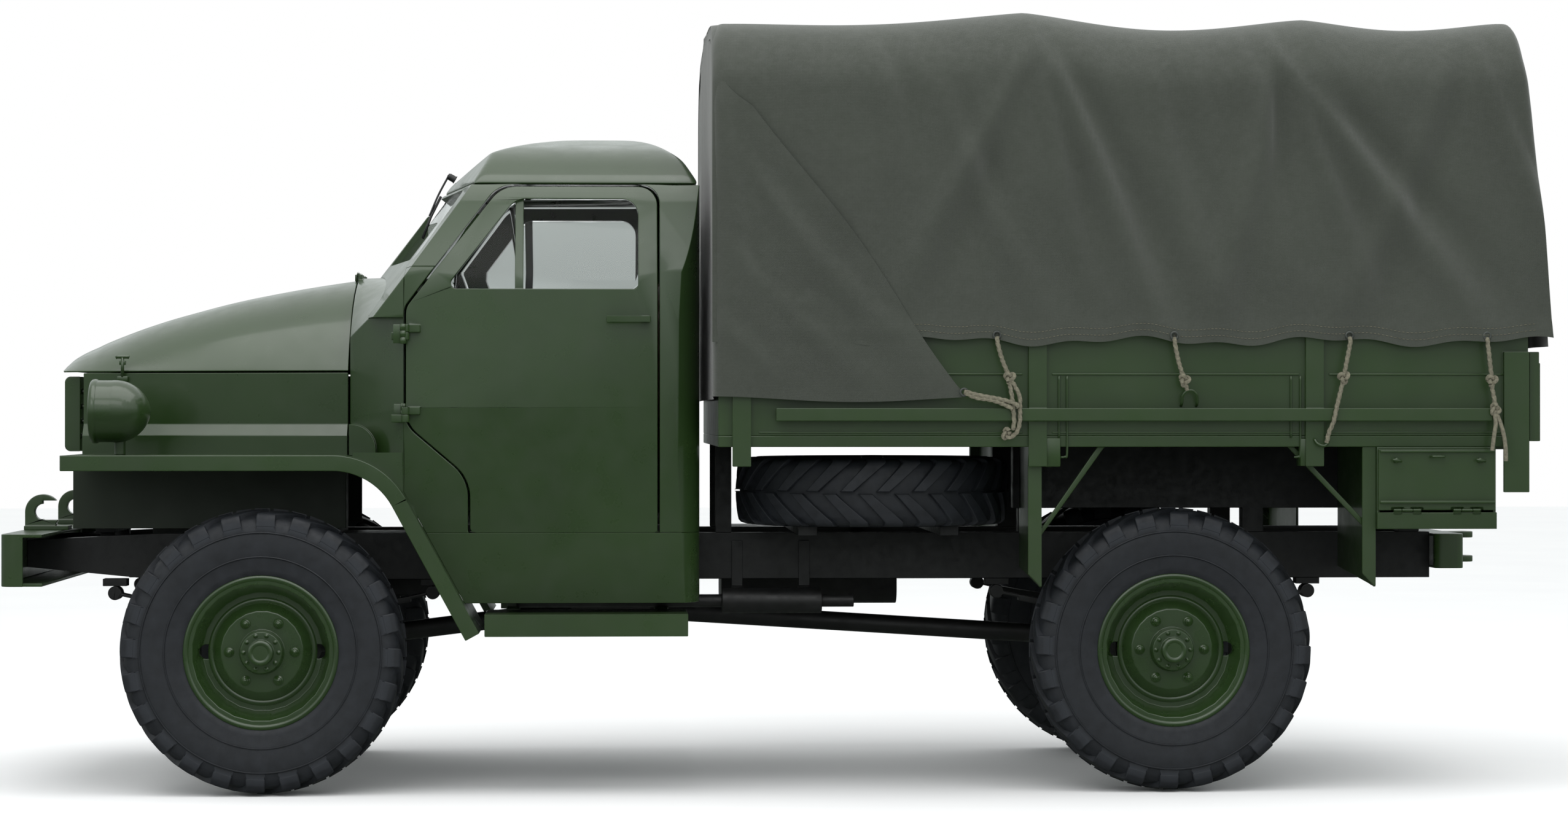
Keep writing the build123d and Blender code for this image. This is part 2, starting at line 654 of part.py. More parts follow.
def make_rear_beam():
    """Rear cross beam with a pin jaw for a drawbar eye at its middle."""
    back_x = RAIL_REAR_X - REAR_BEAM_L
    beam = block(back_x, RAIL_REAR_X, -REAR_BEAM_HALF, REAR_BEAM_HALF, REAR_BEAM_BOTTOM_Z, REAR_BEAM_TOP_Z)
    beam = fillet(beam.edges().filter_by(Axis.Z), 28)
    beam -= block(back_x + 10, RAIL_REAR_X, -REAR_BEAM_HALF + 40, REAR_BEAM_HALF - 40,
                  REAR_BEAM_BOTTOM_Z + 10, REAR_BEAM_TOP_Z - 10)
    middle_z = (REAR_BEAM_BOTTOM_Z + REAR_BEAM_TOP_Z) / 2
    tip_x = back_x - JAW_REACH
    for side in (-1, 1):
        z0 = middle_z + side * JAW_GAP / 2
        z1 = z0 + side * JAW_T
        ear = ((back_x + 5, -JAW_HALF), (tip_x, -JAW_HALF), (tip_x, JAW_HALF), (back_x + 5, JAW_HALF))
        round_end = JAW_HALF * 0.95
        beam += plan_plate(ear, min(z0, z1), max(z0, z1), (0, round_end, round_end, 0))
    hole = Pos(tip_x + JAW_HALF, 0, middle_z) * Cylinder(JAW_PIN_R, 2 * JAW_GAP + 4 * JAW_T)
    return beam - hole


# Hood, bay sides and fenders

def hood_face(x, half, base_z, rise, inset):
    """One section across the hood: flat sides up to the seam, then one arc over the top."""
    w = half - inset
    top = HOOD_SEAM_Z + rise - inset
    side = Polyline((-w, HOOD_SEAM_Z), (-w, base_z), (w, base_z), (w, HOOD_SEAM_Z))
    arch = ThreePointArc((w, HOOD_SEAM_Z), (0, top), (-w, HOOD_SEAM_Z))
    return Pos(x, 0, 0) * (Plane.YZ * make_face(side + arch))


def make_hood():
    low = HOOD_SEAM_Z - 2
    outer = loft([hood_face(HOOD_NOSE_X - back, half, low, rise, 0) for back, half, rise in HOOD_SECTIONS])
    inner_rows = HOOD_SECTIONS[2:]
    inner = loft([hood_face(HOOD_NOSE_X - back, half, low, rise, HOOD_WALL) for back, half, rise in inner_rows])
    trim = block(HOOD_NOSE_X + 1, HOOD_REAR_X - 1, -WAIST_HALF, WAIST_HALF, low - 1, HOOD_SEAM_Z)
    hood = outer - inner - trim
    for barrel in hood_hinge(1):
        hood += barrel
    return hood


HOOD_REAR_X = HOOD_NOSE_X - HOOD_SECTIONS[-1][0]


def hood_hinge(part):
    """Hinge barrels of the hood on both sides: part 0 stands on the cowl, part 1 on the hood."""
    x = HOOD_REAR_X - SEAM / 2
    z = HOOD_SEAM_Z + HOOD_SECTIONS[-1][2] + HOOD_HINGE_RISE
    spans = ((-20.0, 20.0),) if part else ((-44.0, -20.0 - CLEARANCE), (20.0 + CLEARANCE, 44.0))
    web_x = x + SEAM / 2 if part else x
    barrels = []
    for y0, y1 in spans:
        for centre in (-HOOD_HINGE_Y, HOOD_HINGE_Y):
            barrel = rod((x, centre + y0, z), (x, centre + y1, z), HOOD_HINGE_R)
            web = block(web_x, web_x + (12 if part else -16), centre + y0, centre + y1, z - 36, z)
            barrels.append(barrel + web + block(x, web_x, centre + y0, centre + y1, z - 3, z) if part else barrel + web)
    return barrels


def bay_plan(outset):
    """Plan of the engine bay, moved out by an amount and run past both ends."""
    rows = [(HOOD_NOSE_X - back, half + outset) for back, half, _ in HOOD_SECTIONS[2:]]
    (x0, y0), (x1, y1) = rows[-2:]
    tail_x = x1 - 2 * BAY_WALL
    rows.append((tail_x, y1 + (y1 - y0) * (tail_x - x1) / (x1 - x0)))
    rows.insert(0, (rows[0][0] + 2 * BAY_WALL, rows[0][1]))
    return rows + [(x, -y) for x, y in reversed(rows)]


def make_bay_sides():
    """Bay side panels with the sloped ledge, cut open at the front and the rear."""
    foot_z = LEDGE_Z - LEDGE_SLOPE
    upper = plan_plate(bay_plan(0), foot_z, HOOD_SEAM_Z - SEAM)
    lower = plan_plate(bay_plan(LEDGE_OUT), BAY_BOTTOM_Z, foot_z)
    slope = loft([Pos(0, 0, foot_z) * outline(bay_plan(LEDGE_OUT)), Pos(0, 0, LEDGE_Z) * outline(bay_plan(0))], ruled=True)
    walls = upper + lower + slope - plan_plate(bay_plan(-BAY_WALL), 0, 3 * LEDGE_Z)
    front_x = HOOD_NOSE_X - HOOD_SECTIONS[2][0]
    return walls & block(front_x, HOOD_REAR_X, BAY_WALL, WAIST_HALF, 0, 2 * LEDGE_Z)


def fender_band(depth, y0, y1):
    """A strip that follows the fender's top and its raked rear, so deep below its outer line."""
    run_x = FENDER_CORNER_X - FENDER_TOE_X
    run_z = FENDER_TOP_Z - FENDER_TOE_Z
    length = math.hypot(run_x, run_z)
    out_x = run_z / length
    out_z = -run_x / length
    shift = (1 + out_z) / (run_z / length)
    corner_in = FENDER_CORNER_X + depth * (out_x - shift * run_x / length)
    points = (
        (FENDER_FRONT_X, FENDER_TOP_Z), (FENDER_CORNER_X, FENDER_TOP_Z), (FENDER_TOE_X, FENDER_TOE_Z),
        (FENDER_TOE_X + depth * out_x, FENDER_TOE_Z + depth * out_z),
        (corner_in, FENDER_TOP_Z - depth), (FENDER_FRONT_X, FENDER_TOP_Z - depth),
    )
    return side_plate(points, y0, y1, (0, FENDER_BEND_R, 0, 0, FENDER_BEND_R - depth, 0))


def wheel_arch():
    """Everything below the fender's outer line, across the whole truck."""
    points = (
        (NOSE_X, 0), (NOSE_X, FENDER_TOP_Z), (FENDER_CORNER_X, FENDER_TOP_Z), (FENDER_TOE_X, FENDER_TOE_Z),
        (FENDER_TOE_X, 0),
    )
    return side_plate(points, -WAIST_HALF - 1, WAIST_HALF + 1, (0, 0, FENDER_BEND_R, 0, 0))


def make_fender():
    top = fender_band(FENDER_SHEET, APRON_Y, FENDER_OUT_Y)
    lip = fender_band(FENDER_LIP, FENDER_OUT_Y - FENDER_SHEET, FENDER_OUT_Y)
    bay = plan_plate(bay_plan(LEDGE_OUT), BAY_BOTTOM_Z - 2 * FENDER_LIP, 2 * BAY_BOTTOM_Z)
    fender = top + lip - bay - cab_form(0) - cowl_form(0) - ledge_tail()
    return max(fender.solids(), key=lambda s: s.volume)


def make_apron():
    """Inner wheel-well panel between the fender and the frame."""
    low = RAIL_TOP_Z + 20
    points = (
        (APRON_FRONT_X, low), (APRON_FRONT_X, FENDER_TOP_Z - FENDER_SHEET),
        (HOOD_REAR_X + 20, FENDER_TOP_Z - FENDER_SHEET), (HOOD_REAR_X + 20, low),
    )
    return side_plate(points, APRON_Y - APRON_T, APRON_Y)


# Cab: one closed form and the same form drawn in by the wall

def drawn_in(face, inset):
    """A face drawn in by an amount all round."""
    return offset(face, amount=-inset) if inset else face


def cab_form(inset):
    """The cab's closed form, drawn in by an amount."""
    left = [(SILL_HALF, CAB_BOTTOM_Z), (WAIST_HALF, WAIST_Z), (BELT_HALF, BELT_Z), (ROOF_SIDE_HALF, ROOF_SIDE_Z),
            (ROOF_EDGE_HALF, ROOF_EDGE_Z), (0, ROOF_APEX_Z)]
    right = [(-y, z) for y, z in reversed(left[:-1])]
    bend = [0, 0, 0, ROOF_SHOULDER_R, ROOF_EDGE_R, ROOF_CROWN_R, ROOF_EDGE_R, ROOF_SHOULDER_R, 0, 0, 0]
    section = extrude(Plane.YZ * drawn_in(outline(left + right, bend), inset), amount=NOSE_X)
    profile = (
        (CAB_BACK_X, CAB_BOTTOM_Z), (SCREEN_FOOT_X, CAB_BOTTOM_Z), (SCREEN_FOOT_X, SCREEN_FOOT_Z),
        (SCREEN_HEAD_X, SCREEN_HEAD_Z), (ROOF_BROW_X, ROOF_BROW_Z), (ROOF_CROWN_X, ROOF_CROWN_Z),
        (CAB_BACK_X + ROOF_BACK_RUN, ROOF_CROWN_Z - ROOF_BACK_DROP), (CAB_BACK_X + ROOF_TAIL_RUN, ROOF_TAIL_Z),
        (CAB_BACK_X, ROOF_BACK_Z),
    )
    bends = (0, 0, 0, ROOF_HEAD_R, ROOF_FRONT_R, ROOF_TOP_R, ROOF_BACK_R, ROOF_TAIL_R, 0)
    silhouette = extrude(Plane.XZ * drawn_in(outline(profile, bends), inset), amount=2 * WAIST_HALF, both=True)
    wide = WAIST_HALF + 2 * SEAM
    plan = ((CAB_BACK_X, -wide), (NOSE_X, -wide), (NOSE_X, wide), (CAB_BACK_X, wide))
    corners = (BACK_CORNER_R, 0, 0, BACK_CORNER_R)
    footprint = extrude(Plane.XY * drawn_in(outline(plan, corners), inset), amount=2 * ROOF_CROWN_Z)
    form = section & silhouette & footprint
    for side in (-1, 1):
        form -= screen_cut(side, inset)
    return form


def screen_plane(side, inset):
    """Plane of one half of the V-shaped windscreen, facing out."""
    along = Vector(SCREEN_HEAD_X - SCREEN_FOOT_X, 0, SCREEN_HEAD_Z - SCREEN_FOOT_Z)
    across = Vector(-SCREEN_SWEEP, side, 0)
    normal = along.cross(across) * -side
    normal = normal.normalized()
    foot = Vector(SCREEN_FOOT_X, 0, SCREEN_FOOT_Z) - normal * inset
    return Plane(origin=foot, x_dir=Vector(-SCREEN_SWEEP * side, 1, 0), z_dir=normal)


def screen_cut(side, inset):
    """Everything in front of one half of the windscreen, above the cowl."""
    slab = extrude(screen_plane(side, inset) * Rectangle(4000, 4000), amount=900)
    y0, y1 = (0, 1000) if side > 0 else (-1000, 0)
    return slab & block(0, NOSE_X, y0, y1, 0, 2 * ROOF_CROWN_Z)


def cowl_form(inset):
    """Blend from the rear of the hood to the cab's section at the door's front edge, drawn in by an amount."""
    bottom = SILL_Z - inset
    sill_half = SILL_HALF + (WAIST_HALF - SILL_HALF) * (SILL_Z - CAB_BOTTOM_Z) / (WAIST_Z - CAB_BOTTOM_Z)
    hood_half = HOOD_SECTIONS[-1][1]
    hood_top = HOOD_SEAM_Z + HOOD_SECTIONS[-1][2] + SEAM
    rows = (
        (HOOD_REAR_X - SEAM - inset, hood_half, hood_half, hood_half, COWL_SHOULDER_Z, hood_top),
        (COWL_REAR_X, sill_half, WAIST_HALF, BELT_HALF, BELT_Z - COWL_DROP, SCREEN_FOOT_Z),
    )
    faces = []
    for x, low_half, waist_half, top_half, shoulder, top in rows:
        sides = Polyline(
            (inset - top_half, shoulder - inset), (inset - waist_half, WAIST_Z), (inset - low_half, bottom),
            (low_half - inset, bottom), (waist_half - inset, WAIST_Z), (top_half - inset, shoulder - inset),
        )
        arch = ThreePointArc((top_half - inset, shoulder - inset), (0, top - inset), (inset - top_half, shoulder - inset))
        faces.append(Pos(x, 0, 0) * (Plane.YZ * make_face(sides + arch)))
    return loft(faces, ruled=True)


def ledge_tail():
    """The end of the bay's ledge on both sides of the cowl, with a quarter-round rear."""
    front_x = HOOD_REAR_X - SEAM
    points = (
        (front_x, BAY_BOTTOM_Z), (front_x, LEDGE_Z), (front_x - LEDGE_TAIL, LEDGE_Z), (front_x - LEDGE_TAIL, BAY_BOTTOM_Z),
    )
    reach = side_plate(points, -WAIST_HALF, WAIST_HALF, (0, 0, LEDGE_TAIL * 0.9, 0))
    return cowl_form(-LEDGE_OUT) & reach


def door_points(margin):
    """Corner points of the door's outline, drawn in by a margin."""
    slope = (SCREEN_FOOT_X - SCREEN_HEAD_X) / (SCREEN_HEAD_Z - SCREEN_FOOT_Z)
    pillar_z = BELT_Z - 130
    pillar_top_x = DOOR_FRONT_X - slope * (DOOR_TOP_Z - pillar_z)
    return (
        (DOOR_REAR_X + margin, SILL_Z + margin), (DOOR_TOE_X - margin, SILL_Z + margin),
        (DOOR_TOE_X - margin, (SILL_Z + DOOR_TOE_Z) / 2), (DOOR_FRONT_X - margin, DOOR_TOE_Z),
        (DOOR_FRONT_X - margin, pillar_z), (pillar_top_x - margin * 1.3, DOOR_TOP_Z - margin),
        (DOOR_REAR_X + margin, DOOR_TOP_Z - margin),
    )


DOOR_BENDS = (10, 20, 150, 120, 60, 110, 70)


def window_points(margin):
    slope = (SCREEN_FOOT_X - SCREEN_HEAD_X) / (SCREEN_HEAD_Z - SCREEN_FOOT_Z)
    head_z = DOOR_TOP_Z - WINDOW_BORDER - margin
    sill_z = WINDOW_SILL_Z + margin
    pillar_z = BELT_Z - 130
    front = DOOR_FRONT_X - WINDOW_BORDER * 1.9 - margin * 1.3
    return (
        (DOOR_REAR_X + 70 + margin, sill_z), (front - slope * (sill_z - pillar_z), sill_z),
        (front - slope * (head_z - pillar_z), head_z), (DOOR_REAR_X + 70 + margin, head_z),
    )


WINDOW_BENDS = (20, 20, 70, 60)


def make_door(shell):
    """Left door: the wall inside its outline, with the window cut and the hinge barrels."""
    door = shell & side_plate(door_points(0), 0, 2 * WAIST_HALF, DOOR_BENDS)
    door -= side_plate(window_points(0), 0, 2 * WAIST_HALF, WINDOW_BENDS)
    post_x = VENT_POST_X
    post = block(post_x, post_x + VENT_POST_W, 0, 2 * WAIST_HALF, WINDOW_SILL_Z - 20, DOOR_TOP_Z - WINDOW_BORDER + 20)
    mid_wall = cab_form(CAB_WALL * 0.25) - cab_form(CAB_WALL * 0.75)
    door += mid_wall & post & side_plate(door_points(20), 0, 2 * WAIST_HALF)
    for z in HINGE_ZS:
        door += hinge_leaf(-1, z + HINGE_H / 2 + CLEARANCE, z + HINGE_H)
    handle_z = WINDOW_SILL_Z - 110
    grip = block(DOOR_REAR_X + 25, DOOR_REAR_X + 185, WAIST_HALF + 14, WAIST_HALF + 30, handle_z - 11, handle_z + 11)
    stem = block(DOOR_REAR_X + 30, DOOR_REAR_X + 60, WAIST_HALF - 40, WAIST_HALF + 16, handle_z - 11, handle_z + 11)
    return door + grip + stem


def hinge_leaf(direction, z0, z1):
    """A hinge barrel with its leaf, on the door at -1 or on the cowl at +1."""
    barrel = Pos(DOOR_FRONT_X, HINGE_Y, (z0 + z1) / 2) * Cylinder(HINGE_R, z1 - z0)
    tip = DOOR_FRONT_X + direction * 52
    near = DOOR_FRONT_X + direction * (SEAM + 2)
    leaf = block(near, tip, WAIST_HALF - 34, HINGE_Y, z0, z1)
    neck = block(DOOR_FRONT_X, near, HINGE_Y - 8, HINGE_Y, z0, z1)
    return barrel + leaf + neck


def make_door_glass():
    layer = cab_form((CAB_WALL - GLASS_T) / 2) - cab_form((CAB_WALL + GLASS_T) / 2)
    pane = layer & side_plate(window_points(CLEARANCE), 0, 2 * WAIST_HALF, WINDOW_BENDS)
    post_x = VENT_POST_X
    gap = CLEARANCE
    post = block(post_x - gap, post_x + VENT_POST_W + gap, 0, 2 * WAIST_HALF, 0, 2 * DOOR_TOP_Z)
    return pane - post


def screen_opening(side, grow, depth):
    """A pane-shaped block through one half of the windscreen."""
    plane = screen_plane(side, depth)
    slant = math.hypot(SCREEN_FOOT_X - SCREEN_HEAD_X, SCREEN_HEAD_Z - SCREEN_FOOT_Z)
    low = SCREEN_BORDER - grow + 8
    high = slant - SCREEN_BORDER * 1.5 + grow
    near = SCREEN_POST + CLEARANCE - grow
    wide_low = BELT_HALF - 2.1 * SCREEN_BORDER + grow
    wide_high = ROOF_SIDE_HALF - 2.0 * SCREEN_BORDER + grow
    points = ((side * near, low), (side * wide_low, low), (side * wide_high, high), (side * near, high))
    return plane, outline(points, (12, 40, 70, 12))


def make_screen_hole(side):
    plane, face = screen_opening(side, 0, -60)
    return extrude(plane * face, amount=-260)


def make_screen_glass(side):
    plane, face = screen_opening(side, -CLEARANCE, (CAB_WALL - GLASS_T) / 2)
    return extrude(plane * face, amount=-GLASS_T)


def make_cab():
    """The cab's wall, split where its panels meet, with the cowl as a form of its own."""
    outer = cab_form(0)
    inner = cab_form(CAB_WALL)
    shell = outer - inner
    cowl = cowl_form(0)
    doorway = side_plate(door_points(-SEAM), -2 * WAIST_HALF, 2 * WAIST_HALF, DOOR_BENDS)
    fixed = shell - doorway - wheel_arch()
    for side in (-1, 1):
        fixed -= make_screen_hole(side)
    window = ((BACK_WINDOW_HALF, BACK_WINDOW_Z0), (BACK_WINDOW_HALF, BACK_WINDOW_Z1),
              (-BACK_WINDOW_HALF, BACK_WINDOW_Z1), (-BACK_WINDOW_HALF, BACK_WINDOW_Z0))
    fixed -= cross_plate(window, CAB_BACK_X - 10, CAB_BACK_X + 2 * CAB_WALL, 60)
    wide = 2 * WAIST_HALF
    mid_x = (DOOR_REAR_X + DOOR_TOE_X) / 2
    split_z = SCREEN_FOOT_Z + SEAM
    head_z = DOOR_TOP_Z + SEAM
    screen_part = block(mid_x, NOSE_X, -wide, wide, split_z, head_z)
    screen_part += block(COWL_REAR_X, NOSE_X, -wide, wide, WINDOW_SILL_Z - 2 * CAB_WALL, split_z)
    panels = {
        "cab_roof": fixed & block(0, NOSE_X, -wide, wide, head_z, 2 * ROOF_CROWN_Z),
        "windscreen_frame": (fixed & screen_part) - cowl,
        "cab_cowl": (fixed & block(mid_x, COWL_REAR_X, -wide, wide, SILL_Z, split_z))
        + (cowl + ledge_tail() - cowl_form(CAB_WALL) - wheel_arch()),
        "cab_back": fixed & block(0, mid_x, -wide, wide, SILL_Z, head_z),
    }
    return inner, shell, panels


def make_cab_sill(shell):
    """Left side skirt under the door, with its return across the back."""
    corner = block(CAB_BACK_X, CAB_BACK_X + BACK_CORNER_R, MUFFLER_Y + 60, 2 * WAIST_HALF, 0, SILL_Z)
    side = block(CAB_BACK_X + BACK_CORNER_R, NOSE_X, SILL_HALF - CAB_WALL, 2 * WAIST_HALF, 0, SILL_Z)
    return (shell & (corner + side)) - wheel_arch()


def make_cab_floor(inner):
    """Floor and sloping toe board inside the cab, with the feet that stand on the rails."""
    above = block(0, NOSE_X, -WAIST_HALF, WAIST_HALF, SILL_Z, 2 * SILL_Z)
    slab = block(0, COWL_REAR_X, -WAIST_HALF, WAIST_HALF, SILL_Z, SILL_Z + FLOOR_T)
    toe_board = fender_band(-FLOOR_T, -WAIST_HALF, WAIST_HALF) & above
    behind = block(0, COWL_REAR_X, -WAIST_HALF, WAIST_HALF, 0, 2 * SILL_Z)
    floor = ((slab + toe_board) & behind & inner) + (toe_board & cowl_form(CAB_WALL)) - wheel_arch()
    for x in CAB_FOOT_XS:
        for y in (RAIL_FLANGE / 2 - RAIL_Y, RAIL_Y - RAIL_FLANGE / 2):
            floor += block(x - 60, x + 60, y - RAIL_FLANGE / 2, y + RAIL_FLANGE / 2, RAIL_TOP_Z, SILL_Z + 1)
    return floor


def make_back_glass():
    low = BACK_WINDOW_Z0 + CLEARANCE
    high = BACK_WINDOW_Z1 - CLEARANCE
    half = BACK_WINDOW_HALF - CLEARANCE
    middle = CAB_BACK_X + CAB_WALL / 2
    pane = ((half, low), (half, high), (-half, high), (-half, low))
    return cross_plate(pane, middle - GLASS_T / 2, middle + GLASS_T / 2, 60)


# Bed and cover

def make_bed_floor():
    """Floor with the hinge brackets for the tailgate under its rear edge."""
    floor = block(BED_REAR_X, BED_FRONT_X, -BED_HALF, BED_HALF, BED_BOTTOM_Z, BED_BOTTOM_Z + BED_FLOOR_T)
    for bracket in make_gate_brackets():
        floor += bracket
    return floor


def make_sub_sills():
    """Deep sills that carry the bed on the rails, with their spacer feet."""
    y0 = RAIL_Y - SUB_SILL_W
    sill = block(RAIL_REAR_X, SUB_SILL_FRONT_X, y0, RAIL_Y, SUB_SILL_Z0, BED_BOTTOM_Z)
    for x in (SUB_SILL_FRONT_X - 60, REAR_AXLE_X - 380, RAIL_REAR_X + 80):
        sill += block(x - 40, x + 40, y0, RAIL_Y, RAIL_TOP_Z, SUB_SILL_Z0 + 1)
    leg_x = BED_FRONT_X - 38
    sill_front = block(leg_x - 30, leg_x + 30, y0, RAIL_Y, RAIL_TOP_Z, BED_BOTTOM_Z)
    return sill, sill_front


def make_bed_side():
    """Left side boards with posts, the lashing rail and the rear corner post."""
    in_y = BED_HALF - BED_WALL
    low = BED_BOTTOM_Z + BED_FLOOR_T
    side = block(BED_REAR_X, BED_FRONT_X, in_y, BED_HALF, low, BED_TOP_Z)
    out_y = BED_HALF + POST_T
    for x in POST_XS:
        side += block(x - POST_W / 2, x + POST_W / 2, BED_HALF, out_y, BED_BOTTOM_Z - 70, BED_TOP_Z)
    side += block(BED_REAR_X, BED_REAR_X + REAR_POST_W, BED_HALF, out_y, REAR_POST_Z0, REAR_POST_Z1)
    side += block(BED_RAIL_REAR_X, BED_RAIL_FRONT_X, out_y, out_y + BED_RAIL_T, BED_RAIL_Z0, BED_RAIL_Z1)
    return side


def make_bed_front():
    in_y = BED_HALF - BED_WALL
    low = BED_BOTTOM_Z + BED_FLOOR_T
    return block(BED_FRONT_X - BED_WALL, BED_FRONT_X, -in_y, in_y, low, BED_TOP_Z)


def make_tailgate():
    """Drop tailgate behind the floor, with hinge barrels on its lower edge."""
    half = BED_HALF - SEAM
    front_x = BED_REAR_X - SEAM
    low = BED_BOTTOM_Z + BED_FLOOR_T / 2
    gate = block(front_x - TAILGATE_T, front_x, -half, half, low, TAILGATE_TOP_Z)
    for side in (-1, 1):
        for y in (half - 60, half * 0.45):
            gate += block(front_x - TAILGATE_T - 12, front_x - 2, side * y - 28, side * y + 28, low, TAILGATE_TOP_Z - 40)
    barrel_x = front_x - TAILGATE_T / 2
    for y in HINGE_YS:
        gate += rod((barrel_x, y - 40, TAILGATE_HINGE_Z), (barrel_x, y + 40, TAILGATE_HINGE_Z), TAILGATE_HINGE_R)
        gate += block(barrel_x - 8, barrel_x + 8, y - 40, y + 40, TAILGATE_HINGE_Z, low + 5)
    return gate


TAILGATE_HINGE_Z = BED_BOTTOM_Z - 4.0
HINGE_YS = (-700.0, 0.0, 700.0)


def make_gate_brackets():
    """Hinge brackets under the bed's rear edge that carry the tailgate's barrels."""
    barrel_x = BED_REAR_X - SEAM - TAILGATE_T / 2
    brackets = []
    for y in HINGE_YS:
        for side in (-1, 1):
            near = y + side * (40 + CLEARANCE)
            far = near + side * 20
            eye = rod((barrel_x, near, TAILGATE_HINGE_Z), (barrel_x, far, TAILGATE_HINGE_Z), TAILGATE_HINGE_R)
            y0, y1 = min(near, far), max(near, far)
            arm = block(barrel_x, BED_REAR_X + 60, y0, y1, TAILGATE_HINGE_Z - 8, BED_BOTTOM_Z)
            brackets.append(eye + arm)
    return brackets


def cover_section(inset):
    """The cover's outline across the truck, drawn in by an amount."""
    low = COVER_REAR_HEM_Z - 4 * BED_WALL
    left = [(COVER_SIDE_HALF, low), (COVER_SHOULDER_HALF, COVER_SHOULDER_Z),
            (COVER_SHOULDER_HALF - COVER_EAVE_IN, COVER_EAVE_Z), (0, COVER_APEX_Z)]
    right = [(-y, z) for y, z in reversed(left[:-1])]
    bend = (0, COVER_SHOULDER_R, COVER_SHOULDER_R, COVER_CROWN_R, COVER_SHOULDER_R, COVER_SHOULDER_R, 0)
    face = outline(left + right, bend)
    return drawn_in(face, inset)


def cover_line():
    """Places along the cover with the drop of its section: the ends, each bow and the middle of each bay."""
    edges = [BOW_XS[0] + BOW_W / 2, *BOW_XS[1:-1], BOW_XS[-1] - BOW_W / 2]
    line = [(COVER_FRONT_X, COVER_FRONT_DROP), (edges[0], BOW_DROPS[0])]
    for k, sag in enumerate(BAY_SAGS):
        middle = (edges[k] + edges[k + 1]) / 2
        drop = (BOW_DROPS[k] + BOW_DROPS[k + 1]) / 2 + sag
        line += [(middle, drop), (edges[k + 1], BOW_DROPS[k + 1])]
    return line + [(TAIL_X, COVER_REAR_DROP)]


def cover_form(inset, line, low):
    """The cover's section carried along a line of places and drops, above a hem."""
    faces = [Pos(x, 0, -drop) * (Plane.YZ * cover_section(inset)) for x, drop in line]
    form = loft(faces, ruled=True)
    return form & block(TAIL_X, COVER_FRONT_X, -2 * BED_HALF, 2 * BED_HALF, low, 2 * COVER_TOP_Z)


def make_cover():
    """Canvas cover: a closed skin over the bows, open underneath."""
    line = cover_line()
    skin = cover_form(0, line, COVER_REAR_HEM_Z)
    room = cover_form(COVER_T, line, COVER_REAR_HEM_Z - COVER_T)
    wide = 2 * BED_HALF
    inside = block(TAIL_X + COVER_T, COVER_FRONT_X - COVER_T, -wide, wide, 0, 2 * COVER_TOP_Z)
    skin -= room & inside
    return skin - block(TAIL_X + COVER_T, COVER_FRONT_X, -wide, wide, COVER_REAR_HEM_Z, COVER_HEM_Z)


def make_bows():
    """Hoops that stand on the side boards and carry the cover, each at its own height."""
    bows = []
    gap = COVER_T + CLEARANCE
    for x, drop in zip(BOW_XS, BOW_DROPS):
        line = ((x + BOW_W / 2, drop + BOW_SLACK), (x - BOW_W / 2, drop + BOW_SLACK))
        hoop = cover_form(gap, line, BED_TOP_Z)
        hoop -= cover_form(gap + BOW_T, line, BED_TOP_Z - BOW_T)
        bows.append(hoop)
    return bows


# Tool box, mudguards, tank, exhaust

def make_tool_box():
    """Open-fronted box under the bed's sill; its door closes the outer side."""
    top = BED_BOTTOM_Z
    low = top - BOX_HEIGHT
    rear = BOX_FRONT_X - BOX_LENGTH
    case = block(rear, BOX_FRONT_X, BOX_IN_Y, BOX_OUT_Y - BOX_WALL - 1, low, top)
    case -= block(rear + BOX_WALL, BOX_FRONT_X - BOX_WALL, BOX_IN_Y + BOX_WALL, BOX_OUT_Y,
                  low + BOX_WALL, top - BOX_WALL)
    apron = block(rear, BOX_FRONT_X, BOX_OUT_Y - BOX_WALL - 2, BOX_OUT_Y, low, low + BOX_SEAM_UP)
    box = case + apron
    for x0, x1 in box_hinge_spans(0):
        box += box_hinge(x0, x1, low + BOX_SEAM_UP - BOX_HINGE_R)
    return box


def box_hinge_spans(part):
    """Lengths of hinge barrel along the box: part 0 is fixed, part 1 is on the door."""
    middle = BOX_FRONT_X - BOX_LENGTH / 2
    spans = []
    for side in (-1, 1):
        centre = middle + side * BOX_LENGTH / 4
        if part:
            spans.append((centre - 20, centre + 20))
        else:
            spans.append((centre - 50, centre - 20 - CLEARANCE))
            spans.append((centre + 20 + CLEARANCE, centre + 50))
    return spans


def box_hinge(x0, x1, seat_z):
    """A hinge barrel with its web down or up to a seat height."""
    barrel = rod((x0, BOX_HINGE_Y, BOX_HINGE_Z), (x1, BOX_HINGE_Y, BOX_HINGE_Z), BOX_HINGE_R)
    z0, z1 = sorted((seat_z, BOX_HINGE_Z))
    return barrel + block(x0, x1, BOX_OUT_Y - BOX_WALL / 2, BOX_HINGE_Y, z0, z1)


BOX_HINGE_R = 6.0
BOX_HINGE_Y = BOX_OUT_Y + 1.0
BOX_HINGE_Z = BED_BOTTOM_Z - BOX_HEIGHT + BOX_SEAM_UP + SEAM


def make_tool_box_door():
    top = BED_BOTTOM_Z
    low = top - BOX_HEIGHT + BOX_SEAM_UP + SEAM
    rear = BOX_FRONT_X - BOX_LENGTH
    door = block(rear + 4, BOX_FRONT_X - 4, BOX_OUT_Y - BOX_WALL, BOX_OUT_Y, low, top - SEAM)
    for x0, x1 in box_hinge_spans(0):
        room = rod((x0 - SEAM, BOX_HINGE_Y, BOX_HINGE_Z), (x1 + SEAM, BOX_HINGE_Y, BOX_HINGE_Z), BOX_HINGE_R + SEAM / 2)
        door -= room
    for x0, x1 in box_hinge_spans(1):
        door += box_hinge(x0, x1, low + BOX_HINGE_R)
    return door


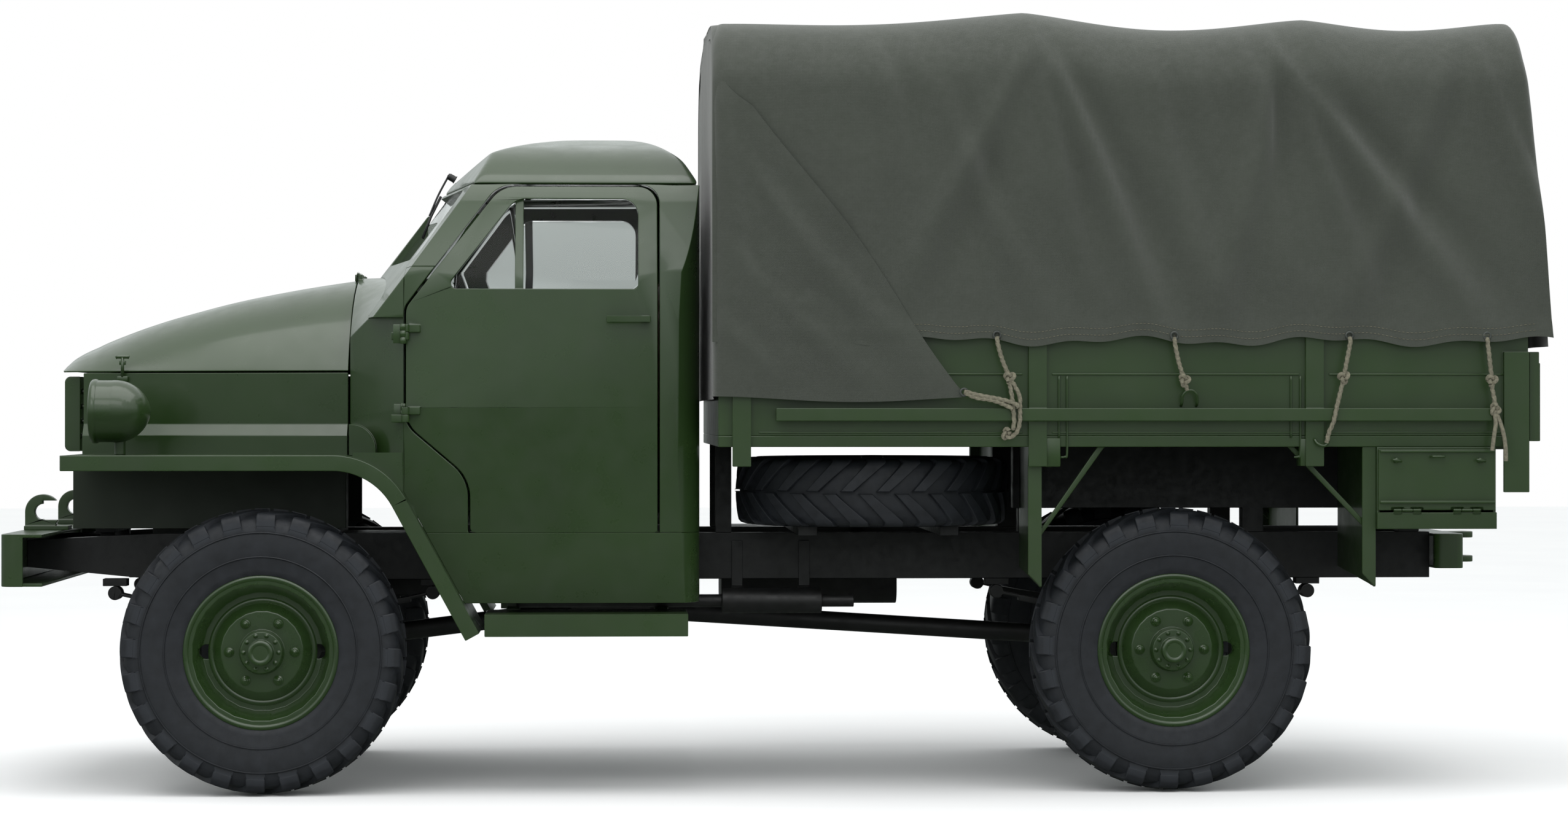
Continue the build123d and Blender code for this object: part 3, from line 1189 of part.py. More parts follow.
def make_mudguard(x, brace_x):
    """A plate behind or ahead of a rear wheel, with a flange down its outer edge and a flat stay to the bed."""
    points = (
        (RAIL_Y + GUARD_GAP, GUARD_BOTTOM_Z + GUARD_POINT), (GUARD_OUT_Y, GUARD_BOTTOM_Z), (GUARD_OUT_Y, BED_BOTTOM_Z),
        (RAIL_Y + GUARD_GAP, BED_BOTTOM_Z),
    )
    plate = cross_plate(points, x - GUARD_T / 2, x + GUARD_T / 2)
    away = math.copysign(1.0, x - REAR_AXLE_X)
    tip = x + GUARD_FLANGE
    flange = side_plate(
        ((x, GUARD_BOTTOM_Z), (x, BED_BOTTOM_Z), (tip, BED_BOTTOM_Z), (tip, GUARD_BOTTOM_Z + GUARD_POINT)),
        GUARD_OUT_Y - GUARD_T, GUARD_OUT_Y,
    )
    foot_z = RAIL_TOP_Z
    stay = side_plate(
        ((x, foot_z), (brace_x, BED_BOTTOM_Z), (brace_x + away * GUARD_STAY_W, BED_BOTTOM_Z), (x, foot_z + GUARD_STAY_W)),
        GUARD_OUT_Y - 3 * GUARD_T, GUARD_OUT_Y - 2 * GUARD_T,
    )
    return plate + flange + stay


def make_tank():
    """Fuel tank on the right-hand rail, with the straps that hold it."""
    tank = block(TANK_FRONT_X - TANK_LENGTH, TANK_FRONT_X, -TANK_OUT_Y, -TANK_IN_Y, TANK_Z0, TANK_Z1)
    tank = fillet(tank.edges().filter_by(Axis.X), 60)
    for share in (0.25, 0.75):
        x = TANK_FRONT_X - TANK_LENGTH * share
        tank += block(x - 25, x + 25, -TANK_IN_Y - 20, -RAIL_Y, RAIL_BOTTOM_Z + 30, RAIL_TOP_Z - 30)
    return tank


def make_engine():
    """Plain block of the engine's size on two mounts between the rails."""
    engine = block(ENGINE_REAR_X, ENGINE_FRONT_X, -ENGINE_HALF, ENGINE_HALF, ENGINE_Z0, ENGINE_Z1)
    mount_x = (ENGINE_REAR_X + ENGINE_FRONT_X) / 2
    inner_y = RAIL_Y - RAIL_FLANGE
    engine += block(mount_x - 50, mount_x + 50, -inner_y, inner_y, RAIL_TOP_Z - 3 * RAIL_T, RAIL_TOP_Z)
    return engine


def make_shaft(start_x, end_x):
    """A propeller shaft from the transfer case to an axle, cut square at both flanges."""
    longer = Vector(end_x - start_x, 0, AXLE_Z - SHAFT_Z).normalized() * SHAFT_R
    tube = rod(tuple(Vector(start_x, 0, SHAFT_Z) - longer), tuple(Vector(end_x, 0, AXLE_Z) + longer), SHAFT_R)
    return tube & block(start_x, end_x, -SHAFT_R, SHAFT_R, 0, 2 * SHAFT_Z)


def make_exhaust():
    can = rod((MUFFLER_FRONT_X, MUFFLER_Y, MUFFLER_Z), (MUFFLER_REAR_X, MUFFLER_Y, MUFFLER_Z), MUFFLER_R)
    front = rod((TRANSFER_FRONT_X + 200, MUFFLER_Y, MUFFLER_Z), (MUFFLER_FRONT_X, MUFFLER_Y, MUFFLER_Z), PIPE_R)
    rear = rod((MUFFLER_REAR_X, MUFFLER_Y, MUFFLER_Z), (MUFFLER_REAR_X - 120, MUFFLER_Y, MUFFLER_Z), PIPE_R)
    exhaust = can + front + rear
    for x in (MUFFLER_FRONT_X - 60, MUFFLER_REAR_X + 60):
        exhaust += block(x - 20, x + 20, RAIL_Y, MUFFLER_Y, MUFFLER_Z + MUFFLER_R - 12, MUFFLER_Z + MUFFLER_R + 4)
        exhaust += block(x - 20, x + 20, RAIL_Y, RAIL_Y + 8, MUFFLER_Z + MUFFLER_R - 12, RAIL_TOP_Z - 30)
    return exhaust


# Lamps and guard

def make_guard():
    """Upright flat bars in front of the radiator, tied back to it."""
    guard = None
    pitch = 2 * GUARD_HALF / (GUARD_BAR_COUNT - 1)
    back_x = GUARD_BAR_X - GUARD_BAR_DEPTH
    for k in range(GUARD_BAR_COUNT):
        y = -GUARD_HALF + k * pitch
        points = ((back_x, GUARD_BAR_Z0), (GUARD_BAR_X, GUARD_BAR_Z0), (GUARD_BAR_X, GUARD_BAR_Z1), (back_x, GUARD_BAR_Z1))
        bar = side_plate(points, y - GUARD_BAR_T / 2, y + GUARD_BAR_T / 2, (0, 22, 22, 0))
        guard = bar if guard is None else guard + bar
    step = (GUARD_BAR_Z1 - GUARD_BAR_Z0) / 5
    for k in range(1, 5):
        z = GUARD_BAR_Z0 + k * step
        guard += block(back_x, back_x + 8, -GUARD_HALF, GUARD_HALF, z - 9, z + 9)
        for side in (-1, 1):
            guard += rod((back_x + 4, side * GUARD_HALF * 0.88, z),
                         (RADIATOR_X + RADIATOR_T / 2, side * GUARD_HALF * 0.88, z), GUARD_TIE_R)
    return guard


def make_radiator():
    """Radiator on two feet on the frame's front cross member."""
    core = block(RADIATOR_X - RADIATOR_T / 2, RADIATOR_X + RADIATOR_T / 2, -RADIATOR_HALF, RADIATOR_HALF,
                 RADIATOR_Z0, RADIATOR_Z1)
    low = RAIL_NOSE_TOP_Z - MEMBER_INSET_Z
    for side in (-1, 1):
        y = side * RADIATOR_HALF * 0.7
        core += block(RADIATOR_X - 25, RADIATOR_X + 25, y - 30, y + 30, low, RADIATOR_Z0 + 5)
    return core


def make_lamp():
    """Bullet-shaped headlamp bucket on its stalk."""
    profile = make_face(
        Polyline((-LAMP_TAIL, 0), (LAMP_NECK, 0), (LAMP_NECK, LAMP_R), (0, LAMP_R))
        + ThreePointArc((0, LAMP_R), (-LAMP_TAIL * 0.72, LAMP_R * 0.70), (-LAMP_TAIL, 0))
    )
    bullet = revolve(Plane.XY * profile, axis=Axis.X)
    socket = rod((LAMP_NECK - LAMP_LENS_T / 2, 0, 0), (LAMP_NECK + 1, 0, 0), LAMP_LENS_R + CLEARANCE)
    stalk = rod((-30, 0, FENDER_TOP_Z - LAMP_Z), (-30, 0, -LAMP_R / 2), LAMP_STALK_R)
    return Pos(LAMP_X, LAMP_Y, LAMP_Z) * (bullet - socket + stalk)


def make_lens():
    flat = LAMP_NECK - LAMP_LENS_T / 2
    bulge = LAMP_NECK + LAMP_LENS_T / 2
    profile = make_face(
        Polyline((flat, LAMP_LENS_R), (flat, 0), (bulge, 0))
        + ThreePointArc((bulge, 0), (bulge - 6, LAMP_LENS_R * 0.55), (flat, LAMP_LENS_R))
    )
    return Pos(LAMP_X, LAMP_Y, LAMP_Z) * revolve(Plane.XY * profile, axis=Axis.X)


# Cab fittings

def column_direction():
    return (Vector(WHEEL_HUB_X, 0, STEER_HUB_Z) - Vector(COLUMN_FOOT_X, 0, COLUMN_FOOT_Z)).normalized()


def make_column():
    foot = Vector(COLUMN_FOOT_X, STEER_Y, COLUMN_FOOT_Z)
    top = Vector(WHEEL_HUB_X, STEER_Y, STEER_HUB_Z) - column_direction() * 30
    column = rod(tuple(foot), tuple(top), COLUMN_R)
    column -= wheel_arch() + fender_band(-FLOOR_T, -WAIST_HALF, WAIST_HALF)
    return max(column.solids(), key=lambda s: s.volume)


def make_steering_wheel():
    plane = Plane(origin=(WHEEL_HUB_X, STEER_Y, STEER_HUB_Z), x_dir=(0, 1, 0), z_dir=tuple(column_direction()))
    wheel = Rot(90, 0, 0) * (drum(((-STEER_GRIP_R, STEER_R), (0, STEER_R + STEER_GRIP_R), (STEER_GRIP_R, STEER_R)),
                                  RIM_SIDES)
                             - drum(((-STEER_GRIP_R, STEER_R), (0, STEER_R - STEER_GRIP_R), (STEER_GRIP_R, STEER_R)),
                                    RIM_SIDES))
    wheel += Pos(0, 0, -4) * Cylinder(STEER_HUB_R, STEER_HUB_H)
    for turn in (30, 150, 270):
        wheel += Rot(0, 0, turn) * rod((STEER_HUB_R / 2, 0, 0), (STEER_R, 0, 0), STEER_SPOKE_R)
    return plane.location * wheel


def make_seat():
    cushion = block(SEAT_REAR_X, SEAT_FRONT_X, -SEAT_HALF, SEAT_HALF, SEAT_Z - CUSHION_T, SEAT_Z)
    back_x = CAB_BACK_X + CAB_WALL + CLEARANCE
    back = block(back_x, back_x + 120, -SEAT_HALF, SEAT_HALF, SEAT_Z + 10, BACKREST_TOP_Z)
    return fillet(cushion.edges().filter_by(Axis.Y), 30), fillet(back.edges().filter_by(Axis.Y), 30)


def make_seat_box():
    floor_z = SILL_Z + FLOOR_T
    box = block(SEAT_REAR_X + 20, SEAT_FRONT_X - 40, -SEAT_HALF + 20, SEAT_HALF - 20, floor_z, SEAT_Z - CUSHION_T - CLEARANCE)
    box -= block(SEAT_REAR_X + 40, SEAT_FRONT_X - 60, -SEAT_HALF + 40, SEAT_HALF - 40, 0, SEAT_Z - CUSHION_T - 20)
    return box


def make_running_board():
    """Step under the door, on brackets from the frame."""
    board = block(BOARD_REAR_X, BOARD_FRONT_X, BOARD_IN_Y, BOARD_OUT_Y, BOARD_Z1 - BOARD_T, BOARD_Z1)
    board += block(BOARD_REAR_X, BOARD_FRONT_X, BOARD_OUT_Y - BOARD_T, BOARD_OUT_Y, BOARD_Z0, BOARD_Z1)
    for x in (BOARD_REAR_X + 90, BOARD_FRONT_X - 90):
        board += block(x - 25, x + 25, RAIL_Y, BOARD_OUT_Y - 20, BOARD_Z1 - BOARD_T - 30, BOARD_Z1 - 2)
        board += block(x - 25, x + 25, RAIL_Y, RAIL_Y + 10, BOARD_Z1 - BOARD_T - 30, RAIL_BOTTOM_Z + 80)
    return board


def make_spare_carrier():
    """Flat arms across the rails that carry the spare wheel."""
    low = RAIL_TOP_Z
    high = SPARE_Z - TYRE_WIDTH / 2
    arms = []
    for x in (SPARE_X - 260, SPARE_X + 260):
        arms.append(block(x - 35, x + 35, -RAIL_Y, SPARE_Y + 330, low, high))
    return arms


def build():
    os.makedirs("parts", exist_ok=True)
    tyre = make_tyre()
    rim = make_rim()
    corners = (("front_left", FRONT_AXLE_X, 1), ("front_right", FRONT_AXLE_X, -1),
               ("rear_left", REAR_AXLE_X, 1), ("rear_right", REAR_AXLE_X, -1))
    for name, x, side in corners:
        place = Pos(x, side * WHEEL_Y, AXLE_Z) * Rot(0, 0, 0 if side > 0 else 180)
        save(f"tyre_{name}", place * tyre)
        save(f"rim_{name}", place * rim)
    spare = Pos(SPARE_X, SPARE_Y, SPARE_Z) * Rot(90, 0, 0)
    save("spare_tyre", spare * tyre)
    save("spare_rim", spare * rim)
    save("spare_carrier", *make_spare_carrier())

    front_spring, eye_z = make_spring(FRONT_AXLE_X)
    rear_spring, eye_z = make_spring(REAR_AXLE_X)
    save("leaf_springs", front_spring, mirrored(front_spring), rear_spring, mirrored(rear_spring))
    save("front_axle", make_front_axle())
    save("rear_axle", make_rear_axle())
    knuckle = make_knuckle()
    save("knuckle_left", knuckle)
    save("knuckle_right", mirrored(knuckle))
    save("frame", make_frame(eye_z))

    save("front_bumper", make_bumper())
    hook = make_hook()
    save("tow_hooks", hook, mirrored(hook))
    save("rear_beam", make_rear_beam())

    inner, shell, panels = make_cab()
    for name, panel in panels.items():
        if name == "cab_cowl":
            for z in HINGE_ZS:
                leaf = hinge_leaf(1, z, z + HINGE_H / 2)
                panel = panel + leaf + mirrored(leaf)
            for barrel in hood_hinge(0):
                panel += barrel
        save(name, panel)
    sill = make_cab_sill(shell)
    save("cab_sills", sill, mirrored(sill))
    door = make_door(shell)
    save("door_left", door)
    save("door_right", mirrored(door))
    glass = make_door_glass()
    save("door_glass_left", glass)
    save("door_glass_right", mirrored(glass))
    save("cab_glass", make_screen_glass(1), make_screen_glass(-1), make_back_glass())
    save("cab_floor", make_cab_floor(inner))
    save("seat_box", make_seat_box())
    save("seat", *make_seat())
    save("steering_column", make_column())
    save("steering_wheel", make_steering_wheel())
    board = make_running_board()
    save("running_boards", board, mirrored(board))

    save("hood", make_hood())
    bay = make_bay_sides()
    save("hood_sides", bay, mirrored(bay))
    fender = make_fender()
    save("front_fenders", fender, mirrored(fender))
    apron = make_apron()
    save("inner_aprons", apron, mirrored(apron))
    save("engine", make_engine())
    save("radiator", make_radiator())
    save("grille_guard", make_guard())
    lamp = make_lamp()
    save("headlamps", lamp, mirrored(lamp))
    lens = make_lens()
    save("headlamp_lenses", lens, mirrored(lens))

    gearbox = block(GEARBOX_REAR_X, ENGINE_REAR_X, -GEARBOX_HALF, GEARBOX_HALF, GEARBOX_Z0, GEARBOX_Z1)
    transfer = block(TRANSFER_REAR_X, TRANSFER_FRONT_X, -TRANSFER_HALF, TRANSFER_HALF, TRANSFER_Z0, TRANSFER_Z1)
    link = block(TRANSFER_FRONT_X - 5, GEARBOX_REAR_X + 5, -60, 60, GEARBOX_Z0 + 20, GEARBOX_Z0 + 140)
    save("transmission", gearbox + transfer + link)
    save("drive_shafts", make_shaft(TRANSFER_FRONT_X, FRONT_AXLE_X - SNOUT),
         make_shaft(TRANSFER_REAR_X, REAR_AXLE_X + SNOUT))
    save("exhaust", make_exhaust())
    save("fuel_tank", make_tank())

    save("bed_floor", make_bed_floor())
    sill, front_leg = make_sub_sills()
    save("bed_sills", sill, mirrored(sill), front_leg, mirrored(front_leg))
    side = make_bed_side()
    save("bed_sides", side, mirrored(side))
    save("bed_front", make_bed_front())
    save("tailgate", make_tailgate())
    save("cover", make_cover())
    save("cover_bows", *make_bows())
    save("tool_box", make_tool_box())
    save("tool_box_door", make_tool_box_door())
    ahead = make_mudguard(REAR_AXLE_X + GUARD_AHEAD, REAR_AXLE_X + GUARD_AHEAD - 235)
    behind = make_mudguard(REAR_AXLE_X - GUARD_BEHIND, REAR_AXLE_X - GUARD_BEHIND + 312)
    save("rear_mudguards", ahead, mirrored(ahead), behind, mirrored(behind))


build()
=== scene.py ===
import json
from math import asin, copysign, cos, exp, hypot, pi, radians, sin, sqrt, tan

import bmesh
import bpy
from mathutils import Matrix, Vector, noise


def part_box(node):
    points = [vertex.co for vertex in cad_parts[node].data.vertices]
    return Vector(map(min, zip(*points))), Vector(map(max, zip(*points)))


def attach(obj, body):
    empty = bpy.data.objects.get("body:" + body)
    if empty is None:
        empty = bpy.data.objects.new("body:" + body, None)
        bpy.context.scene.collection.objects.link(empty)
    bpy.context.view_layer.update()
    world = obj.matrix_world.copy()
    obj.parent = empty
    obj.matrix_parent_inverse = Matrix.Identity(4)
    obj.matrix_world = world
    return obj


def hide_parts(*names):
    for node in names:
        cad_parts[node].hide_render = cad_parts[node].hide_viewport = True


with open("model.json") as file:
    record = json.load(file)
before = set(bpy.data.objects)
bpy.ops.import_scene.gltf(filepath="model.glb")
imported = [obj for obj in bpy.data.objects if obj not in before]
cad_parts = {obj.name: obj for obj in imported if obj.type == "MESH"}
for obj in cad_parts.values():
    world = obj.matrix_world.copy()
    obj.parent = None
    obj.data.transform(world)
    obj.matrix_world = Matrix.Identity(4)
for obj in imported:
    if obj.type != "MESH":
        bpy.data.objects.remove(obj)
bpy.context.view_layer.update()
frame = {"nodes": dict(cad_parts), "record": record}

# Camera of the photograph, in metres in the truck's frame
CAMERA_AT = Vector((0.6036, 13.911, 1.3663))
CAMERA_YAW = 0.04766
CAMERA_PITCH = 0.00278
FOCAL_PX = 5859.4
IMAGE_W = 2553
SENSOR_MM = 36.0

# Colours, linear
BODY_GREEN = (0.0165, 0.0375, 0.0090)
BED_GREEN = (0.0165, 0.0375, 0.0085)
CHASSIS_BLACK = (0.0042, 0.0048, 0.0052)
ENGINE_IRON = (0.03, 0.035, 0.03)
GRIP_BLACK = (0.008, 0.008, 0.009)
RUBBER = (0.0105, 0.0125, 0.0160)
CANVAS = (0.0290, 0.0340, 0.0255)
SEAT_BROWN = (0.035, 0.022, 0.013)
PANE = (0.97, 0.985, 0.98)
LENS = (0.62, 0.65, 0.65)
ROPE = (0.16, 0.15, 0.105)
DUST = (0.11, 0.10, 0.08)
FLOOR_TONES = ((0.94, 0.94, 0.945), (0.965, 0.965, 0.965))
WHITE = (1.0, 1.0, 1.0)

# Light from the ground, at 0, through the horizon, at 0.5, to straight above, at 1
SKY = ((0.0, (0.05, 0.06, 0.05)), (0.46, (0.08, 0.09, 0.08)), (0.53, (0.40, 0.43, 0.42)),
       (0.62, (0.98, 1.03, 1.03)), (1.0, (1.25, 1.3, 1.32)))

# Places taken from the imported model
TYRE_R = sum(corner.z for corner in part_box("rim_front_left")) / 2
COVER_LOW, COVER_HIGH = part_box("cover")
BED_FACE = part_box("bed_floor")[1].y

SIDES = ((1, "left"), (-1, "right"))
TUBE_UP = Vector((0.31, 0.17, 0.94)).normalized()
STRAND_DEPTH = 0.17

# Canvas cover: bows from front to rear, how far each lies below the highest, and the cloth's drop in each bay
BOW_XS = (0.175, -0.895, -1.925, -2.652)
BOW_DROPS = (0.045, 0.0, 0.021, 0.031)
BAY_SAGS = (0.022, 0.050, 0.032)
BOW_ROOM = 0.004
RIPPLE = 0.004
HEM_WAVE = 0.012
HEM_SHARE = 0.975
HEM_THICK = 0.003
REAR_TOP_X = -2.702
REAR_SLANT = 0.083
# Shares round the section where the sides begin to fold and where the bows' drop begins to fade
FOLDS_FROM = 0.3
DROP_FADES = 0.56
FOLD_GAIN = 1.5
# The right side's folds are the left side's, turned end for end about half of this x
MIRROR_X = -2.50
# Rounded ends: how far each reaches and drops
FRONT_ROUND = (0.050, 0.055)
REAR_ROUND = (0.034, 0.080)
SECTION_STEPS = 90
COVER_STEPS = 150
# Half of the cover's section: half width and height, from the crown to the hem
SECTION = ((0.0, 2.879), (0.27, 2.8745), (0.524, 2.862), (0.68, 2.852), (0.805, 2.843), (0.876, 2.828),
           (0.944, 2.791), (1.001, 2.732), (1.045, 2.654), (1.060, 2.573), (1.066, 2.38), (1.076, 2.05),
           (1.084, 1.80), (1.0897, 1.636))
# Folds of the left side: start x and z, end x and z, width, depth
FOLDS = (
    (-0.92, 2.66, -1.40, 1.66, 0.050, 0.026), (-0.84, 2.66, -0.45, 1.75, 0.055, 0.018),
    (-0.88, 2.62, -1.12, 1.86, 0.040, 0.014), (-1.83, 2.68, -2.48, 1.64, 0.052, 0.026),
    (-1.80, 2.66, -1.52, 1.70, 0.050, 0.018), (-1.86, 2.62, -2.08, 1.74, 0.040, 0.015),
    (-2.44, 2.72, -1.98, 1.70, 0.050, 0.014), (-2.56, 2.70, -2.75, 1.66, 0.050, 0.016),
    (-0.32, 2.72, -0.40, 2.25, 0.040, 0.010), (-1.36, 2.58, -1.60, 1.66, 0.055, 0.012),
    (-1.65, 2.70, -1.82, 1.90, 0.045, 0.013), (-0.60, 2.55, -0.95, 1.68, 0.050, 0.012),
)
FLAP_FOLDS = (
    (0.17, 2.50, 0.12, 1.50, 0.045, 0.010), (0.10, 2.29, -0.50, 1.50, 0.050, 0.012),
    (0.16, 2.00, -0.28, 1.45, 0.045, 0.010), (0.20, 1.75, 0.02, 1.44, 0.040, 0.008),
)
FLAP_TOP = (0.200, 2.60)
FLAP_TIP = (-0.651, 1.452)
FLAP_HEM_Z = 1.428
FLAP_CORNER = 0.045
FLAP_HEM_HALF = 1.090
FLAP_BELOW = 14
CURTAIN_HALF = 1.046
CURTAIN_DROP = 0.118


# Small helpers

def clamp(value):
    return min(1.0, max(0.0, value))


def new_object(name, data):
    obj = bpy.data.objects.new(name, data)
    bpy.context.scene.collection.objects.link(obj)
    return obj


def add_mesh(name, verts, faces, body, slot=None, material=None, smooth=True):
    """A mesh piece that rides on a body, in its slot's material unless another is given."""
    mesh = bpy.data.meshes.new(name)
    mesh.from_pydata(verts, [], faces)
    mesh.update()
    obj = new_object(name, mesh)
    mesh.materials.append(material or MATERIALS[slot])
    mesh.polygons.foreach_set("use_smooth", [smooth] * len(mesh.polygons))
    if body:
        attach(obj, body)
    return obj


def grid_faces(rows, cols, wrap=False):
    """Quads of a grid of rows by columns, with the columns joined round if wrap."""
    faces = []
    for r in range(rows - 1):
        for c in range(cols if wrap else cols - 1):
            d = (c + 1) % cols
            faces.append((r * cols + c, r * cols + d, (r + 1) * cols + d, (r + 1) * cols + c))
    return faces


def end_caps(rows, sides):
    """Faces that close both ends of a grid joined round."""
    return [tuple(reversed(range(sides))), tuple(range((rows - 1) * sides, rows * sides))]


def ring(radius, sides, z):
    """Points of a circle about z."""
    return [(radius * cos(2 * pi * k / sides), radius * sin(2 * pi * k / sides), z) for k in range(sides)]


def add_cloth(name, verts, coords, rows, cols):
    """A canvas piece of rows by columns with one uv pair in metres for each vertex, and its area."""
    cloth = add_mesh(name, verts, grid_faces(rows, cols), "chassis", "canvas")
    layer = cloth.data.uv_layers.new(name="cloth")
    for loop in cloth.data.loops:
        layer.data[loop.index].uv = coords[loop.vertex_index]
    return cloth, sum(p.area for p in cloth.data.polygons)


def tube(path, radius, sides=10, lobes=0, twist=0.0, wrap=False):
    """Vertices and faces of a tube along points; lobes and twist make laid rope."""
    path = [Vector(p) for p in path]
    count = len(path)
    verts = []
    run = 0.0
    for i, p in enumerate(path):
        before = path[i - 1] if i or wrap else p
        after = path[(i + 1) % count] if i + 1 < count or wrap else p
        run += (p - path[i - 1]).length if i else 0.0
        along = (after - before).normalized()
        side = along.cross(TUBE_UP).normalized()
        top = side.cross(along).normalized()
        for k in range(sides):
            a = 2 * pi * k / sides
            r = radius * (1 + (STRAND_DEPTH * cos(lobes * (a - twist * run)) if lobes else 0.0))
            verts.append(p + side * (r * cos(a)) + top * (r * sin(a)))
    faces = grid_faces(count, sides, wrap=True)
    if wrap:
        base = (count - 1) * sides
        faces += [(base + k, base + (k + 1) % sides, (k + 1) % sides, k) for k in range(sides)]
    else:
        faces += end_caps(count, sides)
    return verts, faces


def curve_points(points, steps):
    """Points on a smooth line through the given ones."""
    pts = [Vector(p) for p in points]
    found = []
    for i in range(len(pts) - 1):
        p0 = pts[i - 1] if i else pts[0] * 2 - pts[1]
        p1, p2 = pts[i], pts[i + 1]
        p3 = pts[i + 2] if i + 2 < len(pts) else pts[-1] * 2 - pts[-2]
        for k in range(steps):
            t = k / steps
            a = p1 * 2
            b = (p2 - p0) * t
            c = (p0 * 2 - p1 * 5 + p2 * 4 - p3) * t * t
            d = (p1 * 3 - p0 - p2 * 3 + p3) * t ** 3
            found.append((a + b + c + d) * 0.5)
    found.append(pts[-1])
    return found


def add_cube(work, low, high, bevel, segments, share=1.0):
    """A box with rounded edges in a bmesh, shrunk about its middle to a share of its size."""
    low, high = Vector(low), Vector(high)
    verts = bmesh.ops.create_cube(work, size=1.0)["verts"]
    place = Matrix.Translation((low + high) / 2) @ Matrix.Diagonal((*((high - low) * share), 1))
    bmesh.ops.transform(work, matrix=place, verts=verts)
    own = set(verts)
    edges = [e for e in work.edges if e.verts[0] in own]
    bmesh.ops.bevel(work, geom=edges, offset=bevel, segments=segments, profile=0.5, affect="EDGES")


class Heap:
    """Collects simple shapes into one mesh."""

    def __init__(self):
        self.verts = []
        self.faces = []

    def add(self, verts, faces, matrix=None):
        base = len(self.verts)
        self.verts += [matrix @ Vector(v) for v in verts] if matrix else [Vector(v) for v in verts]
        self.faces += [tuple(base + i for i in f) for f in faces]

    def box(self, low, high, bevel, matrix=None):
        work = bmesh.new()
        add_cube(work, low, high, bevel, 2)
        work.verts.index_update()
        self.add([v.co.copy() for v in work.verts], [[v.index for v in f.verts] for f in work.faces], matrix)
        work.free()

    def prism(self, radius, low, high, sides, matrix, top=None):
        """A many-sided stud along z from low to high, with a smaller top if given."""
        verts = ring(radius, sides, low) + ring(radius if top is None else top, sides, high)
        self.add(verts, grid_faces(2, sides, wrap=True) + end_caps(2, sides), matrix)

    def lathe(self, profile, segments, matrix):
        """A profile of radius and height turned about z."""
        verts = [point for r, z in profile for point in ring(r, segments, z)]
        self.add(verts, grid_faces(len(profile), segments, wrap=True), matrix)

    def make(self, name, body, slot=None, material=None, smooth=True):
        return add_mesh(name, self.verts, self.faces, body, slot, material, smooth)


# Materials

def scaled(colour, factor):
    return tuple(c * factor for c in colour)


class Nodes:
    """The nodes of a material or world that lead to its shader."""

    def __init__(self, owner, shader):
        owner.use_nodes = True
        self.owner = owner
        self.tree = owner.node_tree
        self.shader = self.tree.nodes[shader]

    def fill(self, node, inputs):
        """Sets each input to a constant or links it from a socket."""
        for key, value in inputs.items():
            if isinstance(value, bpy.types.NodeSocket):
                self.tree.links.new(value, node.inputs[key])
            else:
                node.inputs[key].default_value = value

    def new(self, kind, inputs, **settings):
        """Outputs of a new node."""
        node = self.tree.nodes.new("ShaderNode" + kind)
        for key, value in settings.items():
            setattr(node, key, value)
        self.fill(node, inputs)
        return node.outputs

    def spread(self, value, low, high, start=0.3, end=0.7):
        """A value mapped from one range to another."""
        ends = {"From Min": start, "From Max": end, "To Min": low, "To Max": high}
        return self.new("MapRange", {"Value": value, **ends})["Result"]

    def mix(self, factor, *colours):
        """A mix of two colours, each a constant or a socket."""
        a, b = [(*colour, 1.0) if isinstance(colour, tuple) else colour for colour in colours]
        return self.new("Mix", {"Factor": factor, 6: a, 7: b}, data_type="RGBA")[2]

    def product(self, a, b):
        return self.new("Math", {0: a, 1: b}, operation="MULTIPLY")[0]


class Surface(Nodes):
    """A material that varies over the object's own metres."""

    def __init__(self, name):
        super().__init__(bpy.data.materials.new(name), "Principled BSDF")
        self.place = self.new("TexCoord", {})["Object"]

    def noise(self, scale, detail=4.0):
        inputs = {"Vector": self.place, "Scale": scale, "Detail": detail, "Roughness": 0.6}
        return self.new("TexNoise", inputs)["Fac"]

    def uneven(self, scale, low=0.0, high=1.0, detail=4.0):
        """A value that wanders between two ends."""
        return self.spread(self.noise(scale, detail), low, high)

    def mottled(self, colour, dark, light, scale, detail=4.0):
        """A colour that wanders between two shares of itself."""
        return self.mix(self.uneven(scale, detail=detail), scaled(colour, dark), scaled(colour, light))

    def bump(self, height, distance, strength, before=None):
        inputs = {"Height": height, "Distance": distance, "Strength": strength}
        if before:
            inputs["Normal"] = before
        return self.new("Bump", inputs)["Normal"]

    def edge_wear(self, colour, worn, amount):
        """Lightens raised edges."""
        edge = self.spread(self.new("NewGeometry", {})["Pointiness"], 0.0, amount, 0.51, 0.60)
        return self.mix(edge, colour, worn)

    def road_dust(self, colour, amount):
        """A thin film of dust towards the ground."""
        height = self.new("SeparateXYZ", {0: self.place})["Z"]
        low = self.spread(height, amount, 0.0, 0.15, 1.15)
        return self.mix(self.product(low, self.uneven(5.0, 0.25)), colour, DUST)

    def shade(self, colour, **inputs):
        """The material, with its shader's inputs filled; a name's low lines stand for spaces."""
        named = {key.replace("_", " "): value for key, value in inputs.items()}
        self.fill(self.shader, {"Base Color": colour, **named})
        return self.owner


def paint(name, colour, gloss=0.30, coat=0.40, dust=0.08, peel=0.008):
    """Enamel paint: slightly uneven colour, worn edges, dust low down and a faint orange peel."""
    surface = Surface(name)
    base = surface.mottled(colour, 0.88, 1.12, 1.7)
    base = surface.edge_wear(base, scaled(colour, 1.8), 0.15)
    fine = surface.bump(surface.noise(260.0, 2.0), 0.0004, peel)
    return surface.shade(surface.road_dust(base, dust), Coat_Weight=coat, Coat_Roughness=0.10,
                         Roughness=surface.uneven(9.0, gloss - 0.05, gloss + 0.09),
                         Normal=surface.bump(surface.noise(6.0, 2.0), 0.004, peel, fine))


